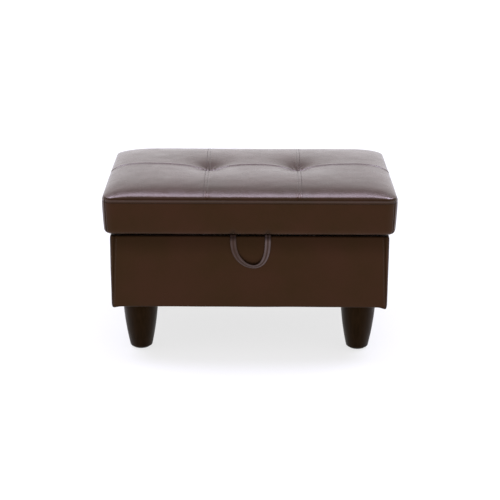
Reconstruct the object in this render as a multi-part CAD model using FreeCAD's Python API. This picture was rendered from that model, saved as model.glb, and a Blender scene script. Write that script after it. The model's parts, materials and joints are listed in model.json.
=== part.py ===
"""Upholstered storage ottoman on four turned legs.

Frame: origin on the floor under the middle of the whole object, +X to the right,
front towards -Y, +Z up. Millimetres. The lid is shut.
"""
import FreeCAD
import Part
import math
import os

Vector = FreeCAD.Vector

# Overall size
LID_WIDTH = 840.0
LID_DEPTH = 560.0
OVERALL_DEPTH = 568.0
OVERALL_HEIGHT = 508.0
LID_CORNER_R = 36.0

# Base box
BASE_WIDTH = 800.0
FRONT_RECESS = 19.0
BASE_BOTTOM = 150.0
BASE_TOP = 365.5
PANEL = 15.0
BOTTOM_PANEL = 18.0
LEATHER = 1.5
PADDING = 4.0
LINING = 1.2
TURN_IN = 25.0
CORNER_BLOCK = 32.0

# Lid
LID_BOTTOM = 372.5
BAND_TOP = 478.5
LID_BOARD = 12.0
BOARD_INSET = 16.0
BOARD_CORNER_R = 30.0
WADDING = 8.0
TOP_SEAM_X = (-121.0, 138.0)
TOP_SEAM_Y = 0.0
TOP_EDGE_R = 28.0
SEAM_GAP = 0.6
TIE_R = 1.5
WASHER_R = 10.0

# Legs
LEG_INSET = 80.0
LEG_TOP_R = 51.5
LEG_MID_R = 44.5
LEG_LOW_R = 33.0
LEG_FOOT_R = 27.0
GLIDE = 3.5
PLATE = 3.0
PLATE_SIZE = 108.0
BOLT_R = 4.0

# Lid hinges
BARREL_R = 3.5
HINGE_PIN_R = 1.6
LEAF = 1.8
LEAF_REACH = 17.0
HINGE_LENGTH = 90.0
HINGE_X = (-270.0, 0.0, 270.0)
KNUCKLES = 5
FIT = 0.05

# Folding lid stays, in the plane of each side wall. Forward and height are
# counted from the hinge axis, and the four pivots make a parallelogram.
STAY_BASE_PIVOT = (72.0, -132.0)
STAY_LID_PIVOT = (158.0, -21.0)
ARM = 2.5
ARM_HALF_WIDTH = 9.0
ARM_GAP = 0.6
RIVET_R = 3.0
RIVET_HEAD_R = 5.5
RIVET_HEAD = 1.2
OPEN_PIVOT_CLEARANCE = 0.3

# Pull strap
STRAP_WIDTH = 17.0
STRAP = 3.0
STRAP_X = (-47.0, 52.0)
STRAP_CLEAR = 2.0
STRAP_NECK = 14.0
LOOP_DROP = 92.0
LOOP_SKEW = 9.0
LOOP_STATIONS = 28

# Screws
SCREW_R = 1.75
SCREW_HEAD_R = 3.4

# Derived places
LID_FRONT = -OVERALL_DEPTH / 2
LID_REAR = LID_FRONT + LID_DEPTH
BASE_FRONT = LID_FRONT + FRONT_RECESS
BASE_REAR = LID_REAR
HALF_BASE = BASE_WIDTH / 2
HALF_LID = LID_WIDTH / 2
SKIN = LEATHER + PADDING
PANEL_X = HALF_BASE - SKIN
PANEL_FRONT = BASE_FRONT + SKIN
PANEL_REAR = BASE_REAR - SKIN
INNER_X = PANEL_X - PANEL
INNER_FRONT = PANEL_FRONT + PANEL
INNER_REAR = PANEL_REAR - PANEL
PANEL_LOW = BASE_BOTTOM + LEATHER
PANEL_HIGH = BASE_TOP - LEATHER
FLOOR_TOP = PANEL_LOW + BOTTOM_PANEL
BOARD_LOW = LID_BOTTOM + LEATHER
BOARD_HIGH = BOARD_LOW + LID_BOARD
FOAM_TOP = BAND_TOP - 2.0 - WADDING
BAND = 2.0
HINGE_Y = OVERALL_DEPTH / 2 - BARREL_R
HINGE_Z = (BASE_TOP + LID_BOTTOM) / 2
LEG_SPOTS = [
    (side * (HALF_BASE - LEG_INSET), y)
    for y in (BASE_FRONT + LEG_INSET, BASE_REAR - LEG_INSET)
    for side in (-1, 1)
]
LEG_NAMES = ("front_left", "front_right", "rear_left", "rear_right")
SIDES = (("left", -1), ("right", 1))
STRAP_PIVOT_Y = BASE_FRONT - STRAP_CLEAR - STRAP / 2
STRAP_PIVOT_Z = LID_BOTTOM - STRAP / 2 - 0.3


def save(name, shape):
    """Write one sub-part."""
    shape.exportStep("parts/" + name + ".step")


def box(x, y, z):
    """Box between the low and high value on each axis."""
    low_x, high_x = sorted(x)
    low_y, high_y = sorted(y)
    low_z, high_z = sorted(z)
    corner = Vector(low_x, low_y, low_z)
    return Part.makeBox(high_x - low_x, high_y - low_y, high_z - low_z, corner)


def cylinder(radius, start, end):
    """Cylinder from one point to another."""
    start = Vector(*start)
    along = Vector(*end) - start
    return Part.makeCylinder(radius, along.Length, start, along)


def prism(points, low, high):
    """Upright prism on a closed plan outline."""
    loop = [Vector(x, y, low) for x, y in points]
    face = Part.Face(Part.makePolygon(loop + loop[:1]))
    return face.extrude(Vector(0, 0, high - low))


def rounded_slab(inset, low, high):
    """The lid's plan, drawn in by an inset, between two heights."""
    slab = box(
        (inset - HALF_LID, HALF_LID - inset),
        (LID_FRONT + inset, LID_REAR - inset),
        (low, high),
    )
    upright = [edge for edge in slab.Edges if abs(edge.tangentAt(edge.FirstParameter).z) > 0.9]
    return slab.makeFillet(LID_CORNER_R - inset, upright)


def countersunk_screw(x, y, surface, depth, down):
    """Countersunk screw. Its head lies flush in a surface and it points down or up."""
    toward = -1 if down else 1
    axis = Vector(0, 0, toward)
    head = Part.makeCone(SCREW_HEAD_R, SCREW_R, LEAF, Vector(x, y, surface), axis)
    shank = Part.makeCylinder(SCREW_R, depth, Vector(x, y, surface), axis)
    point = Part.makeCone(SCREW_R, 0.3, 3.0, Vector(x, y, surface + toward * depth), axis)
    return head.fuse([shank, point]).removeSplitter()


def screw_seat(x, y, surface, down):
    """Countersunk hole for that screw, through a leaf or plate."""
    axis = Vector(0, 0, -1 if down else 1)
    seat = Part.makeCone(SCREW_HEAD_R + FIT, SCREW_R + FIT, LEAF, Vector(x, y, surface), axis)
    hole = Part.makeCylinder(SCREW_R + FIT, 4 * LEAF, Vector(x, y, surface), axis)
    return seat.fuse(hole)


# --- base box ---------------------------------------------------------------

def wall_panels():
    """Four plywood walls. Front and back run the full width."""
    z = (PANEL_LOW, PANEL_HIGH)
    save("front_panel", box((-PANEL_X, PANEL_X), (PANEL_FRONT, INNER_FRONT), z))
    save("back_panel", box((-PANEL_X, PANEL_X), (INNER_REAR, PANEL_REAR), z))
    for name, side in SIDES:
        save(name + "_panel", box((side * INNER_X, side * PANEL_X), (INNER_FRONT, INNER_REAR), z))


def corner_blocks():
    """Triangular glue blocks in the four inside corners."""
    for name, (x, y) in zip(LEG_NAMES, LEG_SPOTS):
        side = math.copysign(1, x)
        end = math.copysign(1, y)
        corner_y = INNER_FRONT if end < 0 else INNER_REAR
        plan = [
            (side * INNER_X, corner_y),
            (side * (INNER_X - CORNER_BLOCK), corner_y),
            (side * INNER_X, corner_y - end * CORNER_BLOCK),
        ]
        save("corner_block_" + name, prism(plan, FLOOR_TOP, PANEL_HIGH - 10.0))


def bottom_panel():
    """Plywood floor between the walls, bored for the four leg bushes."""
    panel = box((-INNER_X, INNER_X), (INNER_FRONT, INNER_REAR), (PANEL_LOW, FLOOR_TOP))
    for x, y in LEG_SPOTS:
        panel = panel.cut(cylinder(BOLT_R + 4.0, (x, y, PANEL_LOW - 1), (x, y, FLOOR_TOP + 1)))
    save("bottom_panel", panel)


def dust_cover():
    """Thin cloth under the floor, inside the turned leather edges."""
    x = PANEL_X - TURN_IN
    y = (PANEL_FRONT + TURN_IN, PANEL_REAR - TURN_IN)
    cover = box((-x, x), y, (BASE_BOTTOM + 0.2, BASE_BOTTOM + 0.2 + 1.0))
    for spot_x, spot_y in LEG_SPOTS:
        low = (spot_x, spot_y, BASE_BOTTOM)
        cover = cover.cut(cylinder(BOLT_R + 5.0, low, (spot_x, spot_y, PANEL_LOW)))
    save("dust_cover", cover)


def base_padding():
    """Thin foam wrapped once round the four walls."""
    z = (PANEL_LOW, PANEL_HIGH)
    outer = box(
        (LEATHER - HALF_BASE, HALF_BASE - LEATHER),
        (BASE_FRONT + LEATHER, BASE_REAR - LEATHER),
        z,
    )
    save("base_padding", outer.cut(box((-PANEL_X, PANEL_X), (PANEL_FRONT, PANEL_REAR), z)))


def base_covers():
    """Four leather panels, each turned over the rim and under the bottom edge."""
    for name, outer, toward, inner in (
        ("front", BASE_FRONT, 1, INNER_FRONT),
        ("back", BASE_REAR, -1, INNER_REAR),
    ):
        x = (-HALF_BASE, HALF_BASE)
        wall = box(x, (outer, outer + toward * LEATHER), (BASE_BOTTOM, BASE_TOP))
        rim = box(x, (outer, inner), (PANEL_HIGH, BASE_TOP))
        hem = box(x, (outer, outer + toward * TURN_IN), (BASE_BOTTOM, PANEL_LOW))
        save("base_cover_" + name, wall.fuse([rim, hem]).removeSplitter())
    for name, side in SIDES:
        outer = side * HALF_BASE
        wall = box(
            (outer, outer - side * LEATHER),
            (BASE_FRONT + LEATHER, BASE_REAR - LEATHER),
            (PANEL_LOW, PANEL_HIGH),
        )
        rim = box((outer, side * INNER_X), (INNER_FRONT, INNER_REAR), (PANEL_HIGH, BASE_TOP))
        hem = box(
            (outer, outer - side * TURN_IN),
            (BASE_FRONT + TURN_IN, BASE_REAR - TURN_IN),
            (BASE_BOTTOM, PANEL_LOW),
        )
        save("base_cover_" + name, wall.fuse([rim, hem]).removeSplitter())


def storage_lining():
    """Cloth bag that lines the compartment and cuts across the corner blocks."""
    def outline(inset):
        x = INNER_X - inset
        front = INNER_FRONT + inset
        rear = INNER_REAR - inset
        cut = CORNER_BLOCK + 0.4 - inset * (2 - math.sqrt(2))
        return [
            (-x + cut, front), (x - cut, front), (x, front + cut), (x, rear - cut),
            (x - cut, rear), (-x + cut, rear), (-x, rear - cut), (-x, front + cut),
        ]
    bag = prism(outline(0.0), FLOOR_TOP, PANEL_HIGH - 1.0)
    save("storage_lining", bag.cut(prism(outline(LINING), FLOOR_TOP + LINING, BASE_TOP)))


# --- legs -------------------------------------------------------------------

def legs():
    """Turned bullet legs, widest at the top, bored for their hanger bolts."""
    top = BASE_BOTTOM - PLATE
    rim = Vector(LEG_TOP_R, 0, top)
    belly = Vector(LEG_MID_R, 0, 0.5 * top)
    shoulder = Vector(LEG_LOW_R, 0, GLIDE + 6.0)
    foot = Vector(LEG_FOOT_R, 0, GLIDE)
    round_mid = Vector(LEG_LOW_R - 1.8, 0, GLIDE + 2.0)
    outline = Part.Wire([
        Part.LineSegment(Vector(0, 0, GLIDE), foot).toShape(),
        Part.Arc(foot, round_mid, shoulder).toShape(),
        Part.Arc(shoulder, belly, rim).toShape(),
        Part.LineSegment(rim, Vector(0, 0, top)).toShape(),
        Part.LineSegment(Vector(0, 0, top), Vector(0, 0, GLIDE)).toShape(),
    ])
    leg = Part.Face(outline).revolve(Vector(0, 0, 0), Vector(0, 0, 1), 360)
    leg = leg.cut(cylinder(BOLT_R + FIT, (0, 0, top - 40.0), (0, 0, top + 1)))
    for name, (x, y) in zip(LEG_NAMES, LEG_SPOTS):
        save("leg_" + name, leg.translated(Vector(x, y, 0)))


def leg_fittings():
    """Glides, mounting plates with threaded bushes, and hanger bolts."""
    glides = []
    plates = []
    bolts = []
    half = PLATE_SIZE / 2
    for x, y in LEG_SPOTS:
        disc = cylinder(LEG_FOOT_R - 3.0, (x, y, 0), (x, y, GLIDE))
        glides.append(disc.makeFillet(1.0, [disc.Edges[2]]))
        low = BASE_BOTTOM - PLATE
        plate = box((x - half, x + half), (y - half, y + half), (low, BASE_BOTTOM))
        plate = plate.makeFillet(14.0, [e for e in plate.Edges if e.Length < PLATE + 0.1])
        bush = cylinder(BOLT_R + 3.8, (x, y, low), (x, y, BASE_BOTTOM + 11.0))
        plate = plate.fuse(bush).removeSplitter()
        plate = plate.cut(cylinder(BOLT_R + FIT, (x, y, low - 1), (x, y, BASE_BOTTOM + 12)))
        for screw_x, screw_y in plate_screw_spots(x, y):
            plate = plate.cut(screw_seat(screw_x, screw_y, low, False))
        plates.append(plate)
        bolts.append(cylinder(BOLT_R, (x, y, low - 38.0), (x, y, BASE_BOTTOM + 10.0)))
    save("leg_glides", Part.makeCompound(glides))
    save("leg_plates", Part.makeCompound(plates))
    save("leg_bolts", Part.makeCompound(bolts))


def plate_screw_spots(x, y):
    """Four screw centres in the corners of a leg plate."""
    reach = PLATE_SIZE / 2 - 13.0
    return [(x + i * reach, y + j * reach) for i in (-1, 1) for j in (-1, 1)]


# --- hinges -----------------------------------------------------------------

def hinge_screw_spots(x):
    """Three screw centres along a hinge leaf."""
    return [(x + step, LID_REAR - LEAF_REACH / 2) for step in (-32.0, 0.0, 32.0)]


def hinge_leaf(x, first, upper):
    """One leaf: a flat plate tangent to every second knuckle."""
    low = HINGE_Z + BARREL_R - LEAF if upper else HINGE_Z - BARREL_R
    half = HINGE_LENGTH / 2
    plate = box((x - half, x + half), (LID_REAR - LEAF_REACH, LID_REAR + 0.4), (low, low + LEAF))
    pitch = HINGE_LENGTH / KNUCKLES
    pieces = []
    for index in range(first, KNUCKLES, 2):
        start = x - half + index * pitch + 0.15
        end = start + pitch - 0.3
        knuckle = cylinder(BARREL_R, (start, HINGE_Y, HINGE_Z), (end, HINGE_Y, HINGE_Z))
        tab = box((start, end), (LID_REAR, HINGE_Y), (low, low + LEAF))
        pieces += [knuckle, tab]
    leaf = plate.fuse(pieces)
    bore = cylinder(HINGE_PIN_R + FIT, (x - half, HINGE_Y, HINGE_Z), (x + half, HINGE_Y, HINGE_Z))
    leaf = leaf.cut(bore)
    surface = low if upper else low + LEAF
    for screw_x, screw_y in hinge_screw_spots(x):
        leaf = leaf.cut(screw_seat(screw_x, screw_y, surface, not upper))
    return leaf


def hinges():
    """Three butt hinges. Their barrels stand behind the rear faces."""
    save("hinge_base_leaves", Part.makeCompound([hinge_leaf(x, 0, False) for x in HINGE_X]))
    save("hinge_lid_leaves", Part.makeCompound([hinge_leaf(x, 1, True) for x in HINGE_X]))
    half = HINGE_LENGTH / 2
    pins = [
        cylinder(HINGE_PIN_R, (x - half, HINGE_Y, HINGE_Z), (x + half, HINGE_Y, HINGE_Z))
        for x in HINGE_X
    ]
    save("hinge_pins", Part.makeCompound(pins))


# --- folding stays ----------------------------------------------------------

WALL_FACE = INNER_X - LINING
BRACKET_IN = WALL_FACE - 2.0
LOWER_OUT = BRACKET_IN - ARM_GAP
LOWER_IN = LOWER_OUT - ARM
UPPER_OUT = LOWER_IN - ARM_GAP
UPPER_IN = UPPER_OUT - ARM
LID_PLATE_OUT = UPPER_IN - ARM_GAP
LID_PLATE_IN = LID_PLATE_OUT - 2.5


def stay_point(point):
    """Y and Z of a place given forward of and above the hinge axis."""
    return HINGE_Y - point[0], HINGE_Z + point[1]


STAY_ELBOW = (STAY_BASE_PIVOT[0] + STAY_LID_PIVOT[0], STAY_BASE_PIVOT[1] + STAY_LID_PIVOT[1])


def rivet(side, place, inner, outer):
    """Headed pin on a stay pivot, along X, with its head on the inner end."""
    y, z = stay_point(place)
    shank = cylinder(RIVET_R, (side * inner, y, z), (side * outer, y, z))
    head = cylinder(RIVET_HEAD_R, (side * (inner - RIVET_HEAD), y, z), (side * inner, y, z))
    return shank.fuse(head).removeSplitter()


def arm(side, start, end, inner, outer, start_hole, end_hole):
    """Flat steel arm with round ends and a hole at each pivot."""
    y0, z0 = stay_point(start)
    y1, z1 = stay_point(end)
    length = math.hypot(y1 - y0, z1 - z0)
    across_y = -(z1 - z0) / length * ARM_HALF_WIDTH
    across_z = (y1 - y0) / length * ARM_HALF_WIDTH
    corners = [
        Vector(side * inner, y0 + across_y, z0 + across_z),
        Vector(side * inner, y1 + across_y, z1 + across_z),
        Vector(side * inner, y1 - across_y, z1 - across_z),
        Vector(side * inner, y0 - across_y, z0 - across_z),
    ]
    bar = Part.Face(Part.makePolygon(corners + corners[:1]))
    bar = bar.extrude(Vector(side * (outer - inner), 0, 0))
    ends = [
        cylinder(ARM_HALF_WIDTH, (side * inner, y, z), (side * outer, y, z))
        for y, z in ((y0, z0), (y1, z1))
    ]
    bar = bar.fuse(ends).removeSplitter()
    for radius, y, z in ((start_hole, y0, z0), (end_hole, y1, z1)):
        bar = bar.cut(cylinder(radius, (side * (inner - 1), y, z), (side * (outer + 1), y, z)))
    return bar


def stays():
    """A pair of folding stays: wall plate, two arms, lid bracket and their rivets."""
    shoulder_rivets = []
    lid_rivets = []
    for name, side in SIDES:
        y, z = stay_point(STAY_BASE_PIVOT)
        plate = box((side * BRACKET_IN, side * WALL_FACE), (y - 12.0, y + 12.0), (z - 60.0, z + 14.0))
        save("stay_wall_plate_" + name, plate)
        shoulder_rivets.append(rivet(side, STAY_BASE_PIVOT, LOWER_IN - FIT, BRACKET_IN))

        running = RIVET_R + FIT
        lower = arm(side, STAY_BASE_PIVOT, STAY_ELBOW, LOWER_IN, LOWER_OUT, running, running)
        save("stay_lower_arm_" + name, lower)
        save("stay_elbow_rivet_" + name, rivet(side, STAY_ELBOW, UPPER_IN - FIT, LOWER_OUT))
        loose = RIVET_R + OPEN_PIVOT_CLEARANCE
        upper = arm(side, STAY_ELBOW, STAY_LID_PIVOT, UPPER_IN, UPPER_OUT, running, loose)
        save("stay_upper_arm_" + name, upper)

        y, z = stay_point(STAY_LID_PIVOT)
        web = box((side * LID_PLATE_IN, side * LID_PLATE_OUT), (y - 13.0, y + 13.0), (z - 11.0, LID_BOTTOM))
        foot = box(
            (side * (LID_PLATE_OUT - 26.0), side * LID_PLATE_OUT),
            (y - 30.0, y + 30.0),
            (LID_BOTTOM - 2.0, LID_BOTTOM),
        )
        bracket = web.fuse(foot).removeSplitter()
        for screw_x, screw_y in lid_bracket_screw_spots(side):
            bracket = bracket.cut(screw_seat(screw_x, screw_y, LID_BOTTOM - 2.0, False))
        save("stay_lid_bracket_" + name, bracket)
        lid_rivets.append(lid_rivet(side, y, z))
    save("stay_wall_rivets", Part.makeCompound(shoulder_rivets))
    save("stay_lid_rivets", Part.makeCompound(lid_rivets))


def lid_rivet(side, y, z):
    """Pin on the lid bracket with its head outside the upper arm."""
    outer = UPPER_OUT + FIT
    shank = cylinder(RIVET_R, (side * LID_PLATE_OUT, y, z), (side * outer, y, z))
    head = cylinder(RIVET_HEAD_R, (side * outer, y, z), (side * (outer + RIVET_HEAD), y, z))
    return shank.fuse(head).removeSplitter()


def lid_bracket_screw_spots(side):
    """Two screw centres in a lid bracket's foot."""
    y, _ = stay_point(STAY_LID_PIVOT)
    x = side * (LID_PLATE_OUT - 15.0)
    return [(x, y - 22.0), (x, y + 22.0)]


def wall_plate_screws(side):
    """Two dome-headed screws that hold a wall plate."""
    y, z = stay_point(STAY_BASE_PIVOT)
    screws = []
    for height in (-22.0, -48.0):
        under_head = (side * BRACKET_IN, y, z + height)
        head = cylinder(3.4, (side * (BRACKET_IN - 1.6), y, z + height), under_head)
        shank = cylinder(SCREW_R, under_head, (side * (INNER_X + 9.0), y, z + height))
        screws.append(head.fuse(shank).removeSplitter())
    return screws


def screws():
    """Wood screws in the base and in the lid."""
    base = []
    lid = []
    base_leaf_top = HINGE_Z - BARREL_R + LEAF
    lid_leaf_low = HINGE_Z + BARREL_R - LEAF
    for hinge_x in HINGE_X:
        for x, y in hinge_screw_spots(hinge_x):
            base.append(countersunk_screw(x, y, base_leaf_top, 22.0, True))
            lid.append(countersunk_screw(x, y, lid_leaf_low, 11.0, False))
    for leg_x, leg_y in LEG_SPOTS:
        for x, y in plate_screw_spots(leg_x, leg_y):
            base.append(countersunk_screw(x, y, BASE_BOTTOM - PLATE, 14.0, False))
    for _, side in SIDES:
        base += wall_plate_screws(side)
        for x, y in lid_bracket_screw_spots(side):
            lid.append(countersunk_screw(x, y, LID_BOTTOM - 2.0, 11.0, False))
    save("base_screws", Part.makeCompound(base))
    save("lid_screws", Part.makeCompound(lid))


# --- lid --------------------------------------------------------------------

def tie_spots():
    """The two tuft ties stand where the top seams cross."""
    return [(x, TOP_SEAM_Y) for x in TOP_SEAM_X]


def bored(block, radius, low, high):
    """Bore a block for both tuft ties."""
    for x, y in tie_spots():
        block = block.cut(cylinder(radius, (x, y, low), (x, y, high)))
    return block


def board_slab():
    """Plywood board. It reaches the rear edge, where the hinges screw into it."""
    slab = box(
        (BOARD_INSET - HALF_LID, HALF_LID - BOARD_INSET),
        (LID_FRONT + BOARD_INSET, LID_REAR - BAND - 0.3),
        (BOARD_LOW, BOARD_HIGH),
    )
    upright = [edge for edge in slab.Edges if abs(edge.tangentAt(edge.FirstParameter).z) > 0.9]
    return slab.makeFillet(BOARD_CORNER_R, upright)


def lid_core():
    """Board, the foam block that wraps its edge, wadding and the cloth under the board."""
    board = board_slab()
    board = bored(board, TIE_R + 1.0, BOARD_LOW - 1, BOARD_HIGH + 1)
    board = bored(board, WASHER_R + 1.0, BOARD_LOW - 1, BOARD_LOW + 2.5)
    save("lid_board", board)
    foam = rounded_slab(BAND + 0.3, BOARD_LOW, FOAM_TOP)
    foam = foam.cut(board_slab())
    save("lid_foam", bored(foam, TIE_R + 1.0, BOARD_HIGH - 1, FOAM_TOP + 1))
    top = FOAM_TOP + WADDING
    wadding = rounded_slab(BAND + 0.3, FOAM_TOP, top)
    save("lid_wadding", bored(wadding, TIE_R + 1.0, FOAM_TOP - 1, top + 1))
    x = HALF_LID - TURN_IN - 5.5
    y = (LID_FRONT + TURN_IN + 5.5, LID_REAR - TURN_IN - 5.5)
    save("lid_lining", box((-x, x), y, (LID_BOTTOM, LID_BOTTOM + LINING)))


def lid_ties():
    """Waxed twine through the foam, and a washer under the board on each."""
    low = BOARD_LOW + 0.3
    ties = [cylinder(TIE_R, (x, y, low), (x, y, BAND_TOP - 2.2)) for x, y in tie_spots()]
    save("tuft_ties", Part.makeCompound(ties))
    washers = []
    for x, y in tie_spots():
        disc = cylinder(WASHER_R, (x, y, BOARD_LOW + 0.4), (x, y, BOARD_LOW + 2.4))
        washers.append(disc.cut(cylinder(TIE_R + FIT, (x, y, BOARD_LOW), (x, y, BOARD_LOW + 3))))
    save("tuft_washers", Part.makeCompound(washers))


def top_panels():
    """Six leather panels over the wadding, three across and two deep."""
    slab = rounded_slab(0.0, BAND_TOP - 2.0, OVERALL_HEIGHT)
    rim = [
        edge for edge in slab.Edges
        if abs(edge.CenterOfMass.z - OVERALL_HEIGHT) < 0.01
    ]
    slab = slab.makeFillet(TOP_EDGE_R, rim)
    columns = (-HALF_LID,) + TOP_SEAM_X + (HALF_LID,)
    rows = (LID_FRONT, TOP_SEAM_Y, LID_REAR)
    gap = SEAM_GAP / 2
    for row_name, front, rear in zip(("front", "rear"), rows, rows[1:]):
        for column_name, left, right in zip(("left", "middle", "right"), columns, columns[1:]):
            cell = box(
                (left + gap, right - gap),
                (front + gap, rear - gap),
                (BAND_TOP - 3.0, OVERALL_HEIGHT + 1.0),
            )
            save("top_panel_" + row_name + "_" + column_name, slab.common(cell))


def boxing():
    """Four bands round the lid, turned under the board and joined at the corners."""
    ring = rounded_slab(0.0, LID_BOTTOM, BAND_TOP - 2.0)
    ring = ring.cut(rounded_slab(BAND, LID_BOTTOM + LEATHER, BAND_TOP))
    hole = TURN_IN + 5.0
    ring = ring.cut(box(
        (hole - HALF_LID, HALF_LID - hole),
        (LID_FRONT + hole, LID_REAR - hole),
        (LID_BOTTOM - 1, BAND_TOP),
    ))
    reach = 2 * LID_CORNER_R
    gap = SEAM_GAP / 2
    for name, edge, inward in (("front", LID_FRONT, 1), ("back", LID_REAR, -1)):
        plan = [
            (-HALF_LID + gap, edge),
            (HALF_LID - gap, edge),
            (HALF_LID - gap - reach, edge + inward * reach),
            (-HALF_LID + gap + reach, edge + inward * reach),
        ]
        save("boxing_" + name, ring.common(prism(plan, LID_BOTTOM - 1, BAND_TOP)))
    for name, side in SIDES:
        edge = side * HALF_LID
        plan = [
            (edge, LID_FRONT + gap),
            (edge, LID_REAR - gap),
            (edge - side * reach, LID_REAR - gap - reach),
            (edge - side * reach, LID_FRONT + gap + reach),
        ]
        save("boxing_" + name, ring.common(prism(plan, LID_BOTTOM - 1, BAND_TOP)))


# --- pull strap -------------------------------------------------------------

def strap_tails():
    """Two strap ends stapled flat under the lid's front edge."""
    tails = []
    for x in STRAP_X:
        y = (STRAP_PIVOT_Y + 5.0, STRAP_PIVOT_Y + 40.0)
        tails.append(box((x - STRAP_WIDTH / 2, x + STRAP_WIDTH / 2), y, (LID_BOTTOM - STRAP, LID_BOTTOM)))
    save("pull_strap_tails", Part.makeCompound(tails))


def loop_section(fraction):
    """Strap section at a fraction of the way round the hanging loop.

    The strap lies flat against the front at both ends. It turns edge-on at the
    bottom, where its width stands out from the front.
    """
    turn = math.pi * fraction
    middle = (STRAP_X[0] + STRAP_X[1]) / 2
    reach = (STRAP_X[1] - STRAP_X[0]) / 2
    top = STRAP_PIVOT_Z - STRAP_NECK
    drop = top - (STRAP_PIVOT_Z - LOOP_DROP)
    x = middle - reach * math.cos(turn) + LOOP_SKEW * math.sin(turn) ** 2
    z = top - drop * math.sin(turn) ** 0.8
    twist = math.pi / 2 * math.sin(turn) ** 2
    lean = reach * math.sin(turn) + LOOP_SKEW * math.sin(2 * turn)
    along = Vector(lean, 0, -drop * math.cos(turn))
    if fraction in (0, 1):
        along = Vector(0, 0, -1 if fraction == 0 else 1)
    along.normalize()
    out = Vector(0, -1, 0)
    flat = along.cross(out)
    wide = flat * math.cos(twist) + out * math.sin(twist)
    thin = wide.cross(along)
    half_width = STRAP_WIDTH / 2
    stand_off = half_width * math.sin(twist) + STRAP / 2 * math.cos(twist)
    centre = Vector(x, BASE_FRONT - STRAP_CLEAR - stand_off, z)
    corners = [
        centre + wide * (i * half_width) + thin * (j * STRAP / 2)
        for i, j in ((-1, -1), (1, -1), (1, 1), (-1, 1))
    ]
    return Part.makePolygon(corners + corners[:1])


def pull_loop():
    """The hanging loop, and the straight neck at each end that turns under the edge."""
    sections = [loop_section(i / LOOP_STATIONS) for i in range(LOOP_STATIONS + 1)]
    loop = Part.makeLoft(sections, True, True)
    necks = []
    for x in STRAP_X:
        across = (x - STRAP_WIDTH / 2, x + STRAP_WIDTH / 2)
        y = (STRAP_PIVOT_Y - STRAP / 2, STRAP_PIVOT_Y + STRAP / 2)
        necks.append(box(across, y, (STRAP_PIVOT_Z - STRAP_NECK, STRAP_PIVOT_Z)))
        start = (across[0], STRAP_PIVOT_Y, STRAP_PIVOT_Z)
        end = (across[1], STRAP_PIVOT_Y, STRAP_PIVOT_Z)
        necks.append(cylinder(STRAP / 2, start, end))
    save("pull_loop", loop.fuse(necks).removeSplitter())


def main():
    """Write every sub-part."""
    os.makedirs("parts", exist_ok=True)
    wall_panels()
    corner_blocks()
    bottom_panel()
    dust_cover()
    base_padding()
    base_covers()
    storage_lining()
    legs()
    leg_fittings()
    hinges()
    stays()
    screws()
    lid_core()
    lid_ties()
    top_panels()
    boxing()
    strap_tails()
    pull_loop()


main()
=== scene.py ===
"""Looks of the upholstered storage ottoman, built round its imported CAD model.

Metres, in the frame of that model: the floor is z = 0, +X is right and the front faces -Y.
"""
import json
import math

import bpy
import numpy as np
from mathutils import Euler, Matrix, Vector, noise
from mathutils.bvhtree import BVHTree


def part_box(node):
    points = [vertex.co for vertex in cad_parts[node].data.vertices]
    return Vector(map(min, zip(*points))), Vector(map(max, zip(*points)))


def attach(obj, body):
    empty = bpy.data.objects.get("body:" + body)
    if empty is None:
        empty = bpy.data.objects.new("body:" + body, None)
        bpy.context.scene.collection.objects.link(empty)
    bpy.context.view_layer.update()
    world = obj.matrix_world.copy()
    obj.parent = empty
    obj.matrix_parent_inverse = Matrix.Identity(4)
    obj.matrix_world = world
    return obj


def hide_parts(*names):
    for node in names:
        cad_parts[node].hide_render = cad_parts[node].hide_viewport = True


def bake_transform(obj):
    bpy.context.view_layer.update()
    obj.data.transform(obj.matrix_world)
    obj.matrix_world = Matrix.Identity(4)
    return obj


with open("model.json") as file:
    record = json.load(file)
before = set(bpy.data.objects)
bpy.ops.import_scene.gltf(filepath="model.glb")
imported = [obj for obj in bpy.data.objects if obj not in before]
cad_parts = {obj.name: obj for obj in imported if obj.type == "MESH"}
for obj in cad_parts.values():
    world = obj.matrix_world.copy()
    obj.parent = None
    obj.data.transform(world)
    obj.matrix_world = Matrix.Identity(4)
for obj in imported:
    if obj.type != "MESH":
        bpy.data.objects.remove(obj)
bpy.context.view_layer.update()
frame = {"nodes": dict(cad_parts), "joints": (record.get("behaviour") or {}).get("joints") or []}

MM = 0.001


# --- places taken from the CAD model ----------------------------------------

def span(*names):
    """Lowest and highest corner of several CAD nodes together."""
    corners = [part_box(name) for name in names]
    low = Vector(min(c[0][k] for c in corners) for k in range(3))
    high = Vector(max(c[1][k] for c in corners) for k in range(3))
    return low, high


TOP_PANELS = ["top_panel_" + r + "_" + c for r in ("front", "rear") for c in ("left", "middle", "right")]
BOXING = ["boxing_front", "boxing_back", "boxing_left", "boxing_right"]
BASE_COVERS = ["base_cover_front", "base_cover_back", "base_cover_left", "base_cover_right"]

LID_LOW, LID_HIGH = span(*TOP_PANELS, *BOXING)
BASE_LOW, BASE_HIGH = span(*BASE_COVERS)
LINING_LOW, LINING_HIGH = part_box("storage_lining")
DUST_LOW, DUST_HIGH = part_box("dust_cover")
LID_CLOTH_LOW, LID_CLOTH_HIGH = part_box("lid_lining")
TAIL_LOW, TAIL_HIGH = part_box("pull_strap_tails")
LOOP_LOW, LOOP_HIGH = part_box("pull_loop")
PLATE_LOW, PLATE_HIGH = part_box("leg_plates")
PIVOT_LOW, PIVOT_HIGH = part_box("stay_wall_plate_left")
JOINTS = {joint["name"]: joint for joint in frame["joints"]}

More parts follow.
